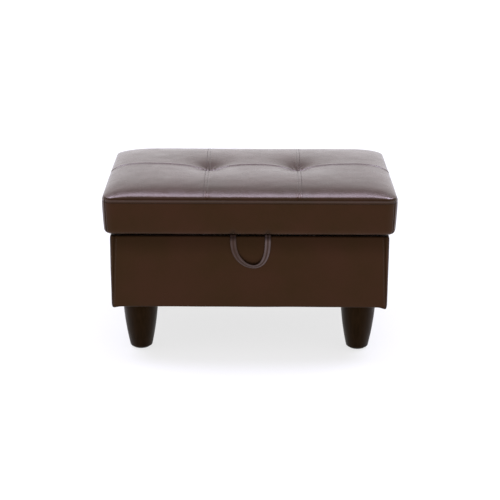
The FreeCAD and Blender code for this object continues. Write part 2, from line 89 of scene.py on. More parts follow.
LID_HALF = (LID_HIGH.x - LID_LOW.x) / 2
LID_REACH = (LID_HIGH.y - LID_LOW.y) / 2
LID_Y = (LID_HIGH.y + LID_LOW.y) / 2
BASE_HALF = (BASE_HIGH.x - BASE_LOW.x) / 2
BASE_REACH = (BASE_HIGH.y - BASE_LOW.y) / 2
BASE_Y = (BASE_HIGH.y + BASE_LOW.y) / 2
TUFT_X = (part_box("top_panel_front_left")[1].x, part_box("top_panel_front_right")[0].x)
CROSS_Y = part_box("top_panel_front_left")[1].y - LID_Y

# Lid cushion
CORNER_R = 36 * MM
EDGE_SEAM_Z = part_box("boxing_front")[1].z
EDGE_ROLL = 9.6 * MM
EDGE_ROLL_REACH = 50 * MM
CROWN_REACH_X = 99 * MM
CROWN_REACH_Y = 200 * MM
CROWN_FULLNESS = 0.474
CORNER_DROP = 0.7
CORNER_SPREAD = 27 * MM
SOFTER_LEFT = 1.2
REAR_LEFT_WIDER = 1.45
TUFT_DEPTH = 22 * MM
TUFT_SPREAD = 46.5 * MM
TUFT_SHARPNESS = 1.38
TOPSTITCH = 9.5 * MM
TWIN_STITCH = 9 * MM
HEM_REACH = 34 * MM
CUSHION_SWELL = 3.5 * MM
SEAM_INSET = 1.2 * MM
BULGE_Z = EDGE_SEAM_Z - 18 * MM
LEAN = 4.5 * MM
HEM_R = 11 * MM
REAR_HEM_R = 1.2 * MM
HEM_Z = LID_LOW.z + 0.2 * MM
FINE_DROPS = [0.0, 1.2, 2.6, 4.5, 6.8, 8.4, 9.5, 10.6, 12.5, 16, 22, 30, 40, 50, 60, 70, 80]
COARSE_DROPS = [0.0, 9.5, 20, 33, 46, 58, 69, 80]

# Cloth simulation of the cushion
PRESSURE = 4.0
SIM_FRAMES = 20
SIM_STEP = 15 * MM

# Marks on vertices that lie away from a seam, and on the cushion's underside
FAR = 1.0
BOTTOM_MARK = 0.3

# Base cover and its seams
BASE_CORNER_R = 11 * MM
BASE_SEAM_TOP = 14 * MM
BASE_SEAM_LOW = 5 * MM
PUFF = 2.0 * MM
TAPER = 0.5 * MM

# Linings and dust cloth
CUT_CORNER = 34 * MM
LINING_CLOTH_THICK = 1.1 * MM
LEG_PLATE = 54 * MM

# Stitches and staples. A stitch is an arch: (reach, lift, thickness) along it
STITCH = 4.2 * MM
STITCH_GAP = 1.6 * MM
THREAD_R = 0.5 * MM
STAPLE = 11 * MM
STAPLE_R = 0.55 * MM
STITCH_PROFILE = ((-0.5, -0.7, 0.6), (-0.30, 0.25, 1.0), (0.0, 0.5, 1.1), (0.30, 0.25, 1.0), (0.5, -0.7, 0.6))
STITCH_SIDES = 5

# Pull strap
STRAP_WIDTH = 17 * MM
STRAP_THICK = 3 * MM
STRAP_PAD = [(1.0, 0.0), (0.95, 0.6), (0.82, 0.92), (0.55, 1.0), (0.3, 0.86), (0.12, 0.5)]
STRAP_OUTLINE = [(-w, t) for w, t in STRAP_PAD] + [(0.0, 0.15)] + STRAP_PAD[::-1]
# Painted highlight across the strap's section, brightest on the padded crests.
PAD_HIGHLIGHT = [0.5, 0.6, 0.55, 1.0, 0.35, 0.05]
STRAP_HIGHLIGHT = PAD_HIGHLIGHT + [0.0] + PAD_HIGHLIGHT[::-1]
FOLD = Vector(JOINTS["pull_fold"]["pos_m"])
NECK = 14 * MM
LOOP_SKEW = 9 * MM
LOOP_TWIST = math.radians(-42)
SPLIT = 7 * MM

# Studio
FLOOR_HALF = 14.0
SOFTBOX_TINT = (0.76, 0.75, 1.0)
ROOM_STRENGTH = 1.08
CAMERA_PLACE = (0.0, -4.249, 1.597)
CAMERA_DOWN = 17.717
CAMERA_ROLL = 0.0043


# --- mesh helpers -----------------------------------------------------------

def make_piece(name, vertices, faces, material):
    """Smooth-shaded mesh object with one material."""
    mesh = bpy.data.meshes.new(name)
    mesh.from_pydata([tuple(v) for v in vertices], [], faces)
    mesh.validate()
    mesh.polygons.foreach_set("use_smooth", [True] * len(mesh.polygons))
    mesh.materials.append(material)
    piece = bpy.data.objects.new(name, mesh)
    bpy.context.scene.collection.objects.link(piece)
    return piece


def closed_piece(name, vertices, faces, material):
    """Piece of a closed mesh, with every face turned outward."""
    piece = make_piece(name, vertices, faces, material)
    mesh = piece.data
    mesh.calc_loop_triangles()
    volume = 0.0
    for triangle in mesh.loop_triangles:
        a, b, c = (mesh.vertices[i].co for i in triangle.vertices)
        volume += a.dot(b.cross(c))
    if volume < 0:
        mesh.flip_normals()
    return piece


def smooth(piece):
    """Apply one round of subdivision to a finished cage."""
    modifier = piece.modifiers.new("smooth", "SUBSURF")
    modifier.levels = 1
    bpy.context.view_layer.update()
    depsgraph = bpy.context.evaluated_depsgraph_get()
    mesh = bpy.data.meshes.new_from_object(piece.evaluated_get(depsgraph))
    mesh.name = piece.name
    piece.modifiers.clear()
    piece.data = mesh


def get_points(mesh):
    """Vertex places as an array."""
    points = np.empty(len(mesh.vertices) * 3)
    mesh.vertices.foreach_get("co", points)
    return points.reshape(-1, 3)


def set_points(mesh, points):
    """Write vertex places back."""
    mesh.vertices.foreach_set("co", np.asarray(points, float).ravel())
    mesh.update()


def get_normals(mesh):
    """Vertex normals as an array."""
    normals = np.empty(len(mesh.vertices) * 3)
    mesh.vertex_normals.foreach_get("vector", normals)
    return normals.reshape(-1, 3)


def paint(piece, name, values):
    """Store one number per vertex for the materials to read."""
    attribute = piece.data.attributes.new(name, "FLOAT", "POINT")
    attribute.data.foreach_set("value", np.asarray(values, np.float32))


def ease(t):
    """Smooth step from 0 to 1."""
    t = np.clip(t, 0, 1)
    return t * t * (3 - 2 * t)


def ridge(distance, width):
    """Bell curve, 1 on the line and falling off over a width."""
    return np.exp(-((distance / width) ** 2))


def groove(gap, depth, width, lip=0.0, lip_at=0.0, lip_width=1.0):
    """Height at a distance from a sewn line, with a raised lip beside it. Sizes in millimetres."""
    return MM * (lip * ridge(gap - lip_at * MM, lip_width * MM) - depth * ridge(gap, width * MM))


def cloudy(points, size, seed):
    """Smooth noise between -1 and 1 at each point, with features of one size."""
    offset = Vector((seed * 7.3, seed * 3.1, seed * 5.7))
    return np.array([noise.noise(Vector(p) / size + offset) for p in points])


# --- rounded boxes made of quads --------------------------------------------

def grid(us, vs):
    """Both coordinates of every grid point, row by row."""
    return (a.ravel() for a in np.meshgrid(us, vs))


def points_at(x, y, z):
    """Points over a plan at one height."""
    return np.stack([x, y, np.full(len(x), z)], 1)


def axis_lines(half, marks, beside, step):
    """Grid lines from -1 to 1, with closer ones beside each mark and both ends."""
    anchors = {-half, half}
    for mark in marks:
        for offset in (0.0,) + beside:
            anchors |= {mark - offset, mark + offset}
    for offset in beside + (18 * MM, 25 * MM, 34 * MM):
        anchors |= {offset - half, half - offset}
    anchors = sorted(anchors)
    lines = [anchors[0]]
    for start, end in zip(anchors, anchors[1:]):
        pieces = max(1, math.ceil((end - start) / step))
        lines += [start + (end - start) * (k + 1) / pieces for k in range(pieces)]
    return np.array(lines) / half


def plan(u, v, half_x, half_y, radius, chamfer=False):
    """Map a unit square onto a rectangle with round or cut corners."""
    x = u * half_x
    y = v * half_y
    over_x = np.clip((np.abs(x) - (half_x - radius)) / radius, 0, 1)
    over_y = np.clip((np.abs(y) - (half_y - radius)) / radius, 0, 1)
    if chamfer:
        new_x = over_x * (1 - over_y / 2)
        new_y = over_y * (1 - over_x / 2)
    else:
        new_x = over_x * np.sqrt(1 - over_y ** 2 / 2)
        new_y = over_y * np.sqrt(1 - over_x ** 2 / 2)
    x = np.where(over_x > 0, np.sign(x) * (half_x - radius + new_x * radius), x)
    y = np.where(over_y > 0, np.sign(y) * (half_y - radius + new_y * radius), y)
    return x, y


def rim_of(us, vs):
    """The unit square's outline as grid points, once round from its first corner."""
    low = [(u, vs[0]) for u in us[:-1]]
    right = [(us[-1], v) for v in vs[:-1]]
    high = [(u, vs[-1]) for u in us[:0:-1]]
    left = [(us[0], v) for v in vs[:0:-1]]
    return np.array(low + right + high + left)


def rim_indices(columns, rows):
    """Places of those outline points in a cap's grid."""
    low = [*range(columns - 1)]
    right = [columns - 1 + j * columns for j in range(rows - 1)]
    high = [i + (rows - 1) * columns for i in range(columns - 1, 0, -1)]
    left = [j * columns for j in range(rows - 1, 0, -1)]
    return low + right + high + left


def band_faces(loops):
    """Quads between each closed loop of vertex numbers and the next."""
    faces = []
    for upper, lower in zip(loops, loops[1:]):
        for k in range(len(upper)):
            n = (k + 1) % len(upper)
            faces.append((upper[n], upper[k], lower[k], lower[n]))
    return faces


def ring_loops(start, around, count):
    """Vertex numbers of several rings that follow each other."""
    return [range(start + r * around, start + (r + 1) * around) for r in range(count)]


def shell(name, us, vs, first_cap, rings, last_cap, material):
    """Closed block: a grid cap, rings of points round the side, and a second cap.

    Each cap is a (rows * columns, 3) array, and each ring follows rim_of.
    """
    columns, rows = len(us), len(vs)
    rim = rim_indices(columns, rows)
    vertices = [*first_cap, *np.concatenate(rings), *last_cap]
    cap_start = len(vertices) - len(last_cap)
    faces = []
    for start, flip in ((0, False), (cap_start, True)):
        for j in range(rows - 1):
            for i in range(columns - 1):
                a = start + i + j * columns
                quad = (a, a + 1, a + 1 + columns, a + columns)
                faces.append(quad[::-1] if flip else quad)
    loops = [rim, *ring_loops(len(first_cap), len(rim), len(rings)), [cap_start + k for k in rim]]
    return closed_piece(name, vertices, faces + band_faces(loops), material)


def tube_ring(name, rings, material):
    """Closed band round a rectangle: the last ring joins the first again."""
    loops = ring_loops(0, len(rings[0]), len(rings))
    return closed_piece(name, np.concatenate(rings), band_faces(loops + loops[:1]), material)


def rod_faces(start, rings, sides):
    """Side quads and end caps of a rod whose rings of vertices begin at start."""
    faces = []
    for r in range(rings - 1):
        for s in range(sides):
            a = start + r * sides + s
            b = start + r * sides + (s + 1) % sides
            faces.append((a, b, b + sides, a + sides))
    last = start + (rings - 1) * sides
    faces.append(tuple(range(start, start + sides))[::-1])
    faces.append(tuple(range(last, last + sides)))
    return faces


# --- node materials ---------------------------------------------------------

class Look:
    """A material under construction."""

    def __init__(self, name):
        self.material = bpy.data.materials.new(name)
        self.material.use_nodes = True
        self.tree = self.material.node_tree
        self.shader = self.tree.nodes["Principled BSDF"]
        self.place = self.add("ShaderNodeTexCoord").outputs["Object"]

    def add(self, kind, links=(), **values):
        """New node. Values set its properties, or its sockets by name or number."""
        node = self.tree.nodes.new(kind)
        for key, value in values.items():
            setattr(node, key, value)
        for socket, value in links:
            self.feed(node.inputs[socket], value)
        return node

    def feed(self, socket, value):
        """Link an output, or set a plain value."""
        if isinstance(value, bpy.types.NodeSocket):
            self.tree.links.new(value, socket)
        else:
            socket.default_value = value

    def noise(self, scale, detail=3.0, roughness=0.5):
        links = [("Vector", self.place), ("Scale", scale), ("Detail", detail), ("Roughness", roughness)]
        return self.add("ShaderNodeTexNoise", links).outputs["Fac"]

    def cells(self, scale, feature="DISTANCE_TO_EDGE"):
        links = [("Vector", self.place), ("Scale", scale)]
        return self.add("ShaderNodeTexVoronoi", links, feature=feature).outputs["Distance"]

    def grain(self, scale, stretch, detail, distortion=0.0):
        """Noise drawn out along one axis."""
        mapping = self.add("ShaderNodeMapping", [("Vector", self.place), ("Scale", stretch)])
        links = [("Vector", mapping.outputs[0]), ("Scale", scale), ("Detail", detail)]
        links.append(("Distortion", distortion))
        return self.add("ShaderNodeTexNoise", links).outputs["Fac"]

    def math(self, operation, a, b):
        return self.add("ShaderNodeMath", [(0, a), (1, b)], operation=operation).outputs[0]

    def times(self, a, b):
        return self.math("MULTIPLY", a, b)

    def plus(self, a, b):
        return self.math("ADD", a, b)

    def ramp(self, value, low, high, start=0.0, end=1.0):
        links = [("Value", value), ("From Min", low), ("From Max", high), ("To Min", start), ("To Max", end)]
        return self.add("ShaderNodeMapRange", links).outputs[0]

    def mix(self, share, a, b):
        node = self.add("ShaderNodeMix", data_type="RGBA")
        self.feed(node.inputs["Factor"], share)
        self.feed(node.inputs[6], a)
        self.feed(node.inputs[7], b)
        return node.outputs[2]

    def attribute(self, name):
        return self.add("ShaderNodeAttribute", attribute_name=name).outputs["Fac"]

    def bump(self, height, strength, distance, under=None):
        links = [("Height", height), ("Strength", strength), ("Distance", distance)]
        if under is not None:
            links.append(("Normal", under))
        return self.add("ShaderNodeBump", links).outputs["Normal"]

    def finish(self, **sockets):
        """Feed the shader, with underscores in names read as spaces."""
        for key, value in sockets.items():
            self.feed(self.shader.inputs[key.replace("_", " ")], value)
        return self.material


def colour(red, green, blue):
    return (red, green, blue, 1.0)


BLACK = colour(0.012, 0.012, 0.013)


def shade(tone, share):
    """The same colour, darker."""
    return colour(*(share * c for c in tone[:3]))


def leather(name, dark, light, worn_and_highlight, grain, gloss):
    """Coated upholstery leather: pebbled grain, soft blotches, high spots paled by use, painted highlights
    and painted shade.
    """
    look = Look(name)
    blotches = look.ramp(look.noise(7.0, 4.0, 0.6), 0.35, 0.65)
    pebble = look.ramp(look.cells(grain), 0.0, 0.16)
    fine = look.noise(grain * 3.1, 2.0)
    soft = look.noise(45.0, 2.0)
    # Painted shade: a vertex mark takes the shine away in seams, dents and places under the lid.
    unshaded_skin = look.math("SUBTRACT", 1.0, look.times(look.attribute("painted_shade"), 0.92))
    polish = look.times(look.attribute("polish"), unshaded_skin)
    base = look.mix(blotches, dark, light)
    # A darker tone for the grain's creases and for the painted shade.
    crease_and_shade_tone = shade(dark, 0.55)
    base = look.mix(look.ramp(pebble, 0.0, 1.0, 0.45, 0.0), base, crease_and_shade_tone)
    # Edges paled by use, and painted highlights on the strap's crests, both come from a vertex mark.
    base = look.mix(look.times(look.attribute("wear_and_highlight"), 0.6), base, worn_and_highlight)
    # Painted shade in seams, dents and under the lid darkens the colour.
    base = look.mix(look.times(look.attribute("painted_shade"), 0.8), base, crease_and_shade_tone)
    rubbed_and_lit = look.plus(look.noise(23.0, 3.0), look.times(pebble, -0.12))
    rough = look.ramp(rubbed_and_lit, 0.2, 0.8, gloss + 0.05, gloss - 0.03)
    height = look.plus(look.times(pebble, 0.7), look.times(fine, 0.3))
    normal = look.bump(height, 0.13, 0.0003, look.bump(soft, 0.06, 0.0012))
    return look.finish(
        Base_Color=base,
        Roughness=rough,
        Normal=normal,
        Specular_IOR_Level=look.times(unshaded_skin, 0.5),
        Specular_Tint=colour(0.50, 0.25, 0.12),
        Coat_Weight=look.times(polish, 0.8),
        Coat_Roughness=look.ramp(rubbed_and_lit, 0.2, 0.8, 0.30, 0.22),
        Coat_Normal=look.bump(height, 0.08, 0.0003),
    )


def thread(name, tone):
    """Bonded sewing thread with a fine twist."""
    look = Look(name)
    twist = look.noise(2600.0, 1.0)
    base = look.mix(twist, shade(tone, 0.6), tone)
    return look.finish(
        Base_Color=base,
        Roughness=look.ramp(twist, 0.3, 0.7, 0.45, 0.6),
        Normal=look.bump(twist, 0.5, 0.0002),
    )


def lacquered_wood():
    """Almost black brown stained wood with the grain showing through satin lacquer."""
    look = Look("lacquered_leg_wood")
    grain = look.grain(170.0, (1.0, 1.0, 0.09), 6.0, 0.6)
    pores = look.ramp(grain, 0.42, 0.62)
    rubbed_and_lit = look.ramp(look.noise(30.0, 4.0), 0.4, 0.7)
    base = look.mix(pores, colour(0.0045, 0.0022, 0.0011), colour(0.0085, 0.0042, 0.0020))
    base = look.mix(look.times(rubbed_and_lit, 0.35), base, colour(0.013, 0.0068, 0.0034))
    return look.finish(
        Base_Color=base,
        Roughness=look.ramp(rubbed_and_lit, 0.0, 1.0, 0.36, 0.48),
        Normal=look.bump(grain, 0.08, 0.0003),
        Specular_IOR_Level=0.19,
        Specular_Tint=colour(0.50, 0.26, 0.08),
    )


def plywood():
    """Pale poplar plywood: veneer figure on the faces and stripes on the edges."""
    look = Look("poplar_plywood")
    figure = look.grain(60.0, (0.12, 1.0, 1.0), 6.0, 1.2)
    knots = look.ramp(look.noise(9.0, 2.0), 0.62, 0.72)
    base = look.mix(figure, colour(0.56, 0.40, 0.24), colour(0.72, 0.56, 0.38))
    base = look.mix(look.times(knots, 0.5), base, colour(0.34, 0.20, 0.10))
    return look.finish(
        Base_Color=base,
        Roughness=look.ramp(figure, 0.3, 0.7, 0.55, 0.72),
        Normal=look.bump(figure, 0.25, 0.0006),
    )


def metal(name, tone, rough, grime):
    """Plated or coated steel with brushed streaks and dull patches."""
    look = Look(name)
    streak = look.grain(260.0, (1.0, 0.06, 1.0), 1.0)
    patches = look.ramp(look.noise(24.0, 2.0, 0.5), 0.5, 0.85)
    base = look.mix(look.times(patches, 0.35), tone, shade(tone, grime))
    return look.finish(
        Base_Color=base,
        Metallic=1.0,
        Roughness=look.ramp(look.plus(streak, patches), 0.4, 1.6, rough - 0.03, rough + 0.08),
        Normal=look.bump(streak, 0.03, 0.0001),
    )


def painted_steel():
    """Black stove enamel with an orange-peel surface and rubbed edges."""
    look = Look("black_enamel_steel")
    peel = look.noise(700.0, 2.0)
    dust = look.ramp(look.noise(40.0, 5.0, 0.65), 0.5, 0.8)
    base = look.mix(look.times(dust, 0.4), BLACK, colour(0.05, 0.048, 0.045))
    return look.finish(
        Base_Color=base,
        Roughness=look.ramp(dust, 0.0, 1.0, 0.36, 0.6),
        Normal=look.bump(peel, 0.2, 0.0003),
    )


def spunbond(name, dark, light):
    """Non-woven cloth with pressed bond points and loose fibres."""
    look = Look(name)
    bonds = look.ramp(look.cells(420.0, "F1"), 0.22, 0.38)
    fibres = look.noise(1500.0, 4.0, 0.7)
    worn_and_highlight = look.ramp(look.noise(12.0, 4.0), 0.35, 0.7)
    base = look.mix(fibres, dark, light)
    base = look.mix(look.ramp(bonds, 0.0, 1.0, 0.35, 0.0), base, dark)
    base = look.mix(look.times(worn_and_highlight, 0.25), base, light)
    height = look.plus(look.times(bonds, 0.6), look.times(fibres, 0.4))
    return look.finish(
        Base_Color=base,
        Roughness=look.ramp(fibres, 0.3, 0.7, 0.82, 0.95),
        Normal=look.bump(height, 0.35, 0.0005),
        Sheen_Weight=0.15,
    )


def moulded_plastic():
    """Matt black polyethylene glide, scuffed underneath."""
    look = Look("black_glide_plastic")
    scuff = look.ramp(look.noise(160.0, 5.0, 0.7), 0.45, 0.7)
    base = look.mix(look.times(scuff, 0.5), BLACK, colour(0.06, 0.06, 0.058))
    return look.finish(
        Base_Color=base,
        Roughness=look.ramp(scuff, 0.0, 1.0, 0.45, 0.7),
        Normal=look.bump(look.noise(900.0, 2.0), 0.2, 0.0002),
    )


def waxed_twine():
    """Natural waxed twine."""
    look = Look("waxed_twine")
    strands = look.noise(1800.0, 3.0)
    base = look.mix(strands, colour(0.42, 0.32, 0.18), colour(0.62, 0.52, 0.34))
    return look.finish(
        Base_Color=base,
        Roughness=look.ramp(strands, 0.3, 0.7, 0.5, 0.7),
        Normal=look.bump(strands, 0.4, 0.0003),
    )


LEATHER = leather(
    "brown_leather",
    dark=colour(0.0195, 0.0102, 0.0042),
    light=colour(0.0275, 0.0112, 0.0068),
    worn_and_highlight=colour(0.040, 0.020, 0.013),
    grain=520.0,
    gloss=0.32,
)
# The strap's pale lilac tone for its crests is a painted highlight.
STRAP_LEATHER = leather(
    "strap_leather",
    dark=colour(0.022, 0.011, 0.008),
    light=colour(0.034, 0.019, 0.016),
    worn_and_highlight=colour(0.13, 0.095, 0.10),
    grain=760.0,
    gloss=0.30,
)
THREAD = thread("brown_thread", colour(0.050, 0.030, 0.020))
LEG_WOOD = lacquered_wood()
PLYWOOD = plywood()
HINGE_STEEL = metal("nickel_hinge_steel", colour(0.62, 0.60, 0.57), 0.30, 0.55)
ZINC_STEEL = metal("zinc_screw_steel", colour(0.70, 0.70, 0.68), 0.34, 0.5)
STAPLE_STEEL = metal("staple_steel", colour(0.66, 0.66, 0.66), 0.28, 0.6)
BLACK_STEEL = painted_steel()
LINING_CLOTH = spunbond("black_lining_cloth", BLACK, colour(0.040, 0.039, 0.040))
DUST_CLOTH = spunbond("black_dust_cloth", colour(0.010, 0.010, 0.010), colour(0.030, 0.030, 0.031))
GLIDE_PLASTIC = moulded_plastic()
TWINE = waxed_twine()


# --- stitches and staples ---------------------------------------------------

def add_stitch(vertices, faces, spot, along, normal, length, radius):
    """One stitch: an arch whose ends dive into the surface."""
    across = along.cross(normal)
    faces += rod_faces(len(vertices), len(STITCH_PROFILE), STITCH_SIDES)
    for reach, lift, size in STITCH_PROFILE:
        centre = spot + along * (reach * length) + normal * (lift * radius)
        for s in range(STITCH_SIDES):
            angle = 2 * math.pi * s / STITCH_SIDES
            vertices.append(centre + (across * math.cos(angle) + normal * math.sin(angle)) * radius * size)


def add_stitches(vertices, faces, route, surface):
    """Evenly spaced stitches along a route, laid on the nearest part of a surface."""
    steps = np.linalg.norm(np.diff(route, axis=0), axis=1)
    walked = np.concatenate([[0.0], np.cumsum(steps)])
    count = max(1, int(walked[-1] / (STITCH + STITCH_GAP)))
    marks = (np.arange(count) + 0.5) * walked[-1] / count
    spots = np.stack([np.interp(marks, walked, route[:, k]) for k in range(3)], 1)
    legs = np.searchsorted(walked, marks) - 1
    for guess, leg in zip(spots, legs):
        along = Vector(route[leg + 1] - route[leg]).normalized()
        spot, normal, _, _ = surface.find_nearest(Vector(guess))
        along = (along - normal * along.dot(normal)).normalized()
        add_stitch(vertices, faces, spot, along, normal, STITCH, THREAD_R)


def stitched(name, routes, cover):
    """One piece holding every stitch of several routes over a cover."""
    surface = BVHTree.FromPolygons(
        [v.co for v in cover.data.vertices],
        [p.vertices[:] for p in cover.data.polygons],
    )
    vertices = []
    faces = []
    for route in routes:
        add_stitches(vertices, faces, route, surface)
    return closed_piece(name, vertices, faces, THREAD)


def staples(name, spots):
    """Wire staples pressed up against a cloth. Each spot is a place and a direction."""
    vertices = []
    faces = []
    for spot, along in spots:
        along = Vector(along).normalized()
        add_stitch(vertices, faces, Vector(spot), along, Vector((0, 0, -1)), STAPLE, STAPLE_R)
    return make_piece(name, vertices, faces, STAPLE_STEEL)


# --- the lid cushion --------------------------------------------------------

def seam_shift(u, v):
    """The two long seams drift outward a little towards the back."""
    marks = np.array([-1.0, TUFT_X[0] / LID_HALF, TUFT_X[1] / LID_HALF, 1.0])
    drift = np.array([0.0, -0.5 * MM, 6 * MM, 0.0])
    return np.interp(u, marks, drift) * (v + 1) / 2


def lid_plan(u, v, inset):
    """Lid outline drawn in by an inset, in the lid's own centre frame."""
    radius = max(CORNER_R - inset, 1.5 * MM)
    return plan(u, v, LID_HALF - inset, LID_REACH - inset, radius)


def edge_distance(x, y):
    """How far inside the rounded top outline a point lies."""
    half_x = LID_HALF - SEAM_INSET
    half_y = LID_REACH - SEAM_INSET
    radius = CORNER_R - SEAM_INSET
    qx = np.abs(x) - (half_x - radius)
    qy = np.abs(y) - (half_y - radius)
    corner = radius - np.hypot(np.maximum(qx, 0), np.maximum(qy, 0))
    side = np.minimum(half_x - np.abs(x), half_y - np.abs(y))
    return np.maximum(np.where((qx > 0) & (qy > 0), corner, side), 0)


def round_over(t):
    """Quarter-circle rise from 0 to 1."""
    return np.sqrt(1 - (1 - np.clip(t, 0, 1)) ** 2)


def crown(x, y):
    """Height of the filled top before it is tufted. Its left corners are softer."""
    roll = EDGE_ROLL * round_over(edge_distance(x, y) / EDGE_ROLL_REACH)
    from_side = LID_HALF - SEAM_INSET - np.abs(x)
    from_end = LID_REACH - SEAM_INSET - np.abs(y)
    pillow = round_over(from_side / CROWN_REACH_X) * round_over(from_end / CROWN_REACH_Y)
    pillow = pillow ** (2 * CROWN_FULLNESS)
    drop = np.where(x < 0, SOFTER_LEFT, 1.0)
    spread = CORNER_SPREAD * np.where((x < 0) & (y > 0), REAR_LEFT_WIDER, 1.0)
    corner = drop * np.exp(-np.hypot(from_side, from_end) / spread)
    rise = LID_HIGH.z - EDGE_SEAM_Z - EDGE_ROLL
    return EDGE_SEAM_Z + (roll + rise * pillow) * (1 - CORNER_DROP * corner)


def tuft_dip(x, y):
    """Depth pulled down round both tufts."""
    away = [np.hypot(x - tuft, y - CROSS_Y) for tuft in TUFT_X]
    return sum(TUFT_DEPTH * np.exp(-(a / TUFT_SPREAD) ** TUFT_SHARPNESS) for a in away)


def cushion_section(fine):
    """Rings from the edge seam down and under: (height, inset, rear inset) each.

    The sides and front lean in; the rear stays upright beside the hinges.
    """
    drops = FINE_DROPS if fine else COARSE_DROPS
    rings = []
    for drop in [d * MM for d in drops] + [EDGE_SEAM_Z - HEM_Z - HEM_R]:
        z = EDGE_SEAM_Z - drop
        above = max(0.0, (z - BULGE_Z) / (EDGE_SEAM_Z - BULGE_Z))
        below = max(0.0, (BULGE_Z - z) / (BULGE_Z - HEM_Z))
        rear = SEAM_INSET * above ** 2.4
        rings.append((z, rear + LEAN * below ** 1.4, rear))
    turn_inset = rings[-1][1]
    turns = 5 if fine else 2
    for k in range(1, turns + 1):
        angle = math.pi / 2 * k / turns
        drop = HEM_R * math.sin(angle)
        inset = turn_inset + HEM_R * (1 - math.cos(angle))
        rear_drop = max(0.0, drop - (HEM_R - REAR_HEM_R)) / REAR_HEM_R
        rear = REAR_HEM_R * (1 - math.sqrt(max(0.0, 1 - rear_drop ** 2)))
        rings.append((HEM_Z + HEM_R - drop, inset, rear))
    rings += [(HEM_Z, inset, inset) for inset in (18 * MM, 25 * MM, HEM_REACH)]
    return rings


def cushion_points(us, vs, fine):
    """Top cap, rings and bottom cap of the lid cushion before any simulation."""
    u, v = grid(us, vs)
    x, y = lid_plan(u, v, SEAM_INSET)
    top = np.stack([x + seam_shift(u, v), y + LID_Y, crown(x, y) - tuft_dip(x, y)], 1)
    around_u, around_v = rim_of(us, vs).T
    rear_share = ease((around_v - 0.93) / 0.06)
    rings = []
    for z, inset, rear in cushion_section(fine)[1:]:
        x, y = lid_plan(around_u, around_v, inset)
        rear_x, rear_y = lid_plan(around_u, around_v, rear)
        x = x + (rear_x - x) * rear_share
        y = y + (rear_y - y) * rear_share
        rings.append(points_at(x, y + LID_Y, z))
    x, y = lid_plan(u, v, HEM_REACH + 3 * MM)
    return top, rings, points_at(x, y + LID_Y, HEM_Z + 0.9 * MM)


def inflate(piece, held):
    """Blow a closed mesh up as cloth, and return how far each point moved, scaled to the swell."""
    scene = bpy.context.scene
    rest = get_points(piece.data)
    group = piece.vertex_groups.new(name="held")
    for index, weight in enumerate(held):
        if weight > 0:
            group.add([index], float(weight), "REPLACE")
    cloth = piece.modifiers.new("cloth", "CLOTH")
    settings = cloth.settings
    settings.quality = 5
    settings.mass = 0.25
    settings.tension_stiffness = 18.0
    settings.compression_stiffness = 12.0
    settings.shear_stiffness = 6.0
    settings.bending_stiffness = 2.5
    settings.use_pressure = True
    settings.uniform_pressure_force = PRESSURE
    settings.vertex_group_mass = "held"
    settings.effector_weights.gravity = 0.0
    cloth.collision_settings.use_collision = False
    for number in range(1, SIM_FRAMES + 1):
        scene.frame_set(number)
    depsgraph = bpy.context.evaluated_depsgraph_get()
    shaped = piece.evaluated_get(depsgraph).to_mesh()
    moved = get_points(shaped) - rest
    scene.frame_set(1)
    return moved * min(1.0, CUSHION_SWELL / np.linalg.norm(moved, axis=1).max())


def resample(values, old_a, old_b, new_a, new_b):
    """Bilinear resampling of a (len(old_a), len(old_b), 3) field."""
    half = np.stack([
        np.stack([np.interp(new_b, old_b, row[:, k]) for k in range(3)], 1) for row in values
    ])
    return np.stack([
        np.stack([np.interp(new_a, old_a, half[:, j, k]) for k in range(3)], 1) for j in range(len(new_b))
    ], 1)


def rim_positions(us, vs):
    """Distance of each outline point round the unit square, from 0 to 8."""
    outline = rim_of(us, vs)
    steps = np.abs(np.diff(outline, axis=0)).sum(1)
    return np.concatenate([[0.0], np.cumsum(steps)])


def held_share(copy, top, rings):
    """How firmly each point of the coarse cushion is held: seams, tufts and hem."""
    x = top[:, 0]
    y = top[:, 1] - LID_Y
    on_top = np.maximum(0.9 * (edge_distance(x, y) < 2 * MM), 0.25 * ridge(y - CROSS_Y, 7 * MM))
    for tuft in TUFT_X:
        on_top = np.maximum(on_top, ridge(np.hypot(x - tuft, y - CROSS_Y), 11 * MM))
    held = np.ones(len(copy.data.vertices))
    held[: len(top)] = on_top
    for number, (z, _, _) in enumerate(cushion_section(False)[1:]):
        start = len(top) + number * len(rings[0])
        held[start: start + len(rings[0])] = 1.0 if z < LID_LOW.z + 13 * MM else 0.15
    return np.where(held < 0.05, 0.0, held)


def cushion_swelling(us, vs):
    """Cloth displacement of the cushion, resampled onto a finer grid."""
    coarse_u = axis_lines(LID_HALF, TUFT_X, (9 * MM,), SIM_STEP)
    coarse_v = axis_lines(LID_REACH, (CROSS_Y,), (9 * MM,), SIM_STEP)
    top, rings, bottom = cushion_points(coarse_u, coarse_v, False)
    copy = shell("cushion_simulation", coarse_u, coarse_v, top, rings, bottom, LEATHER)
    moved = inflate(copy, held_share(copy, top, rings))
    bpy.data.objects.remove(copy)
    columns, rows = len(coarse_u), len(coarse_v)
    top_field = moved[: len(top)].reshape(rows, columns, 3)
    top_moved = resample(top_field, coarse_v, coarse_u, vs, us).reshape(-1, 3)
    around = len(rings[0])
    side_field = moved[len(top): len(top) + len(rings) * around].reshape(len(rings), around, 3)
    side_field = np.concatenate([moved[None, rim_indices(columns, rows)], side_field])
    side_field = np.concatenate([side_field, side_field[:, :1]], 1)
    coarse_s = np.append(rim_positions(coarse_u, coarse_v), 8.0)
    coarse_depth = section_depths(cushion_section(False))
    fine_depth = section_depths(cushion_section(True))
    side_moved = resample(side_field, coarse_depth, coarse_s, fine_depth, rim_positions(us, vs))
    return top_moved, side_moved[1:]


def section_depths(section):
    """Distance of each ring along the side, from the edge seam."""
    depths = [0.0]
    for (z0, i0, _), (z1, i1, _) in zip(section, section[1:]):
        depths.append(depths[-1] + math.hypot(z1 - z0, i1 - i0))
    return np.array(depths)


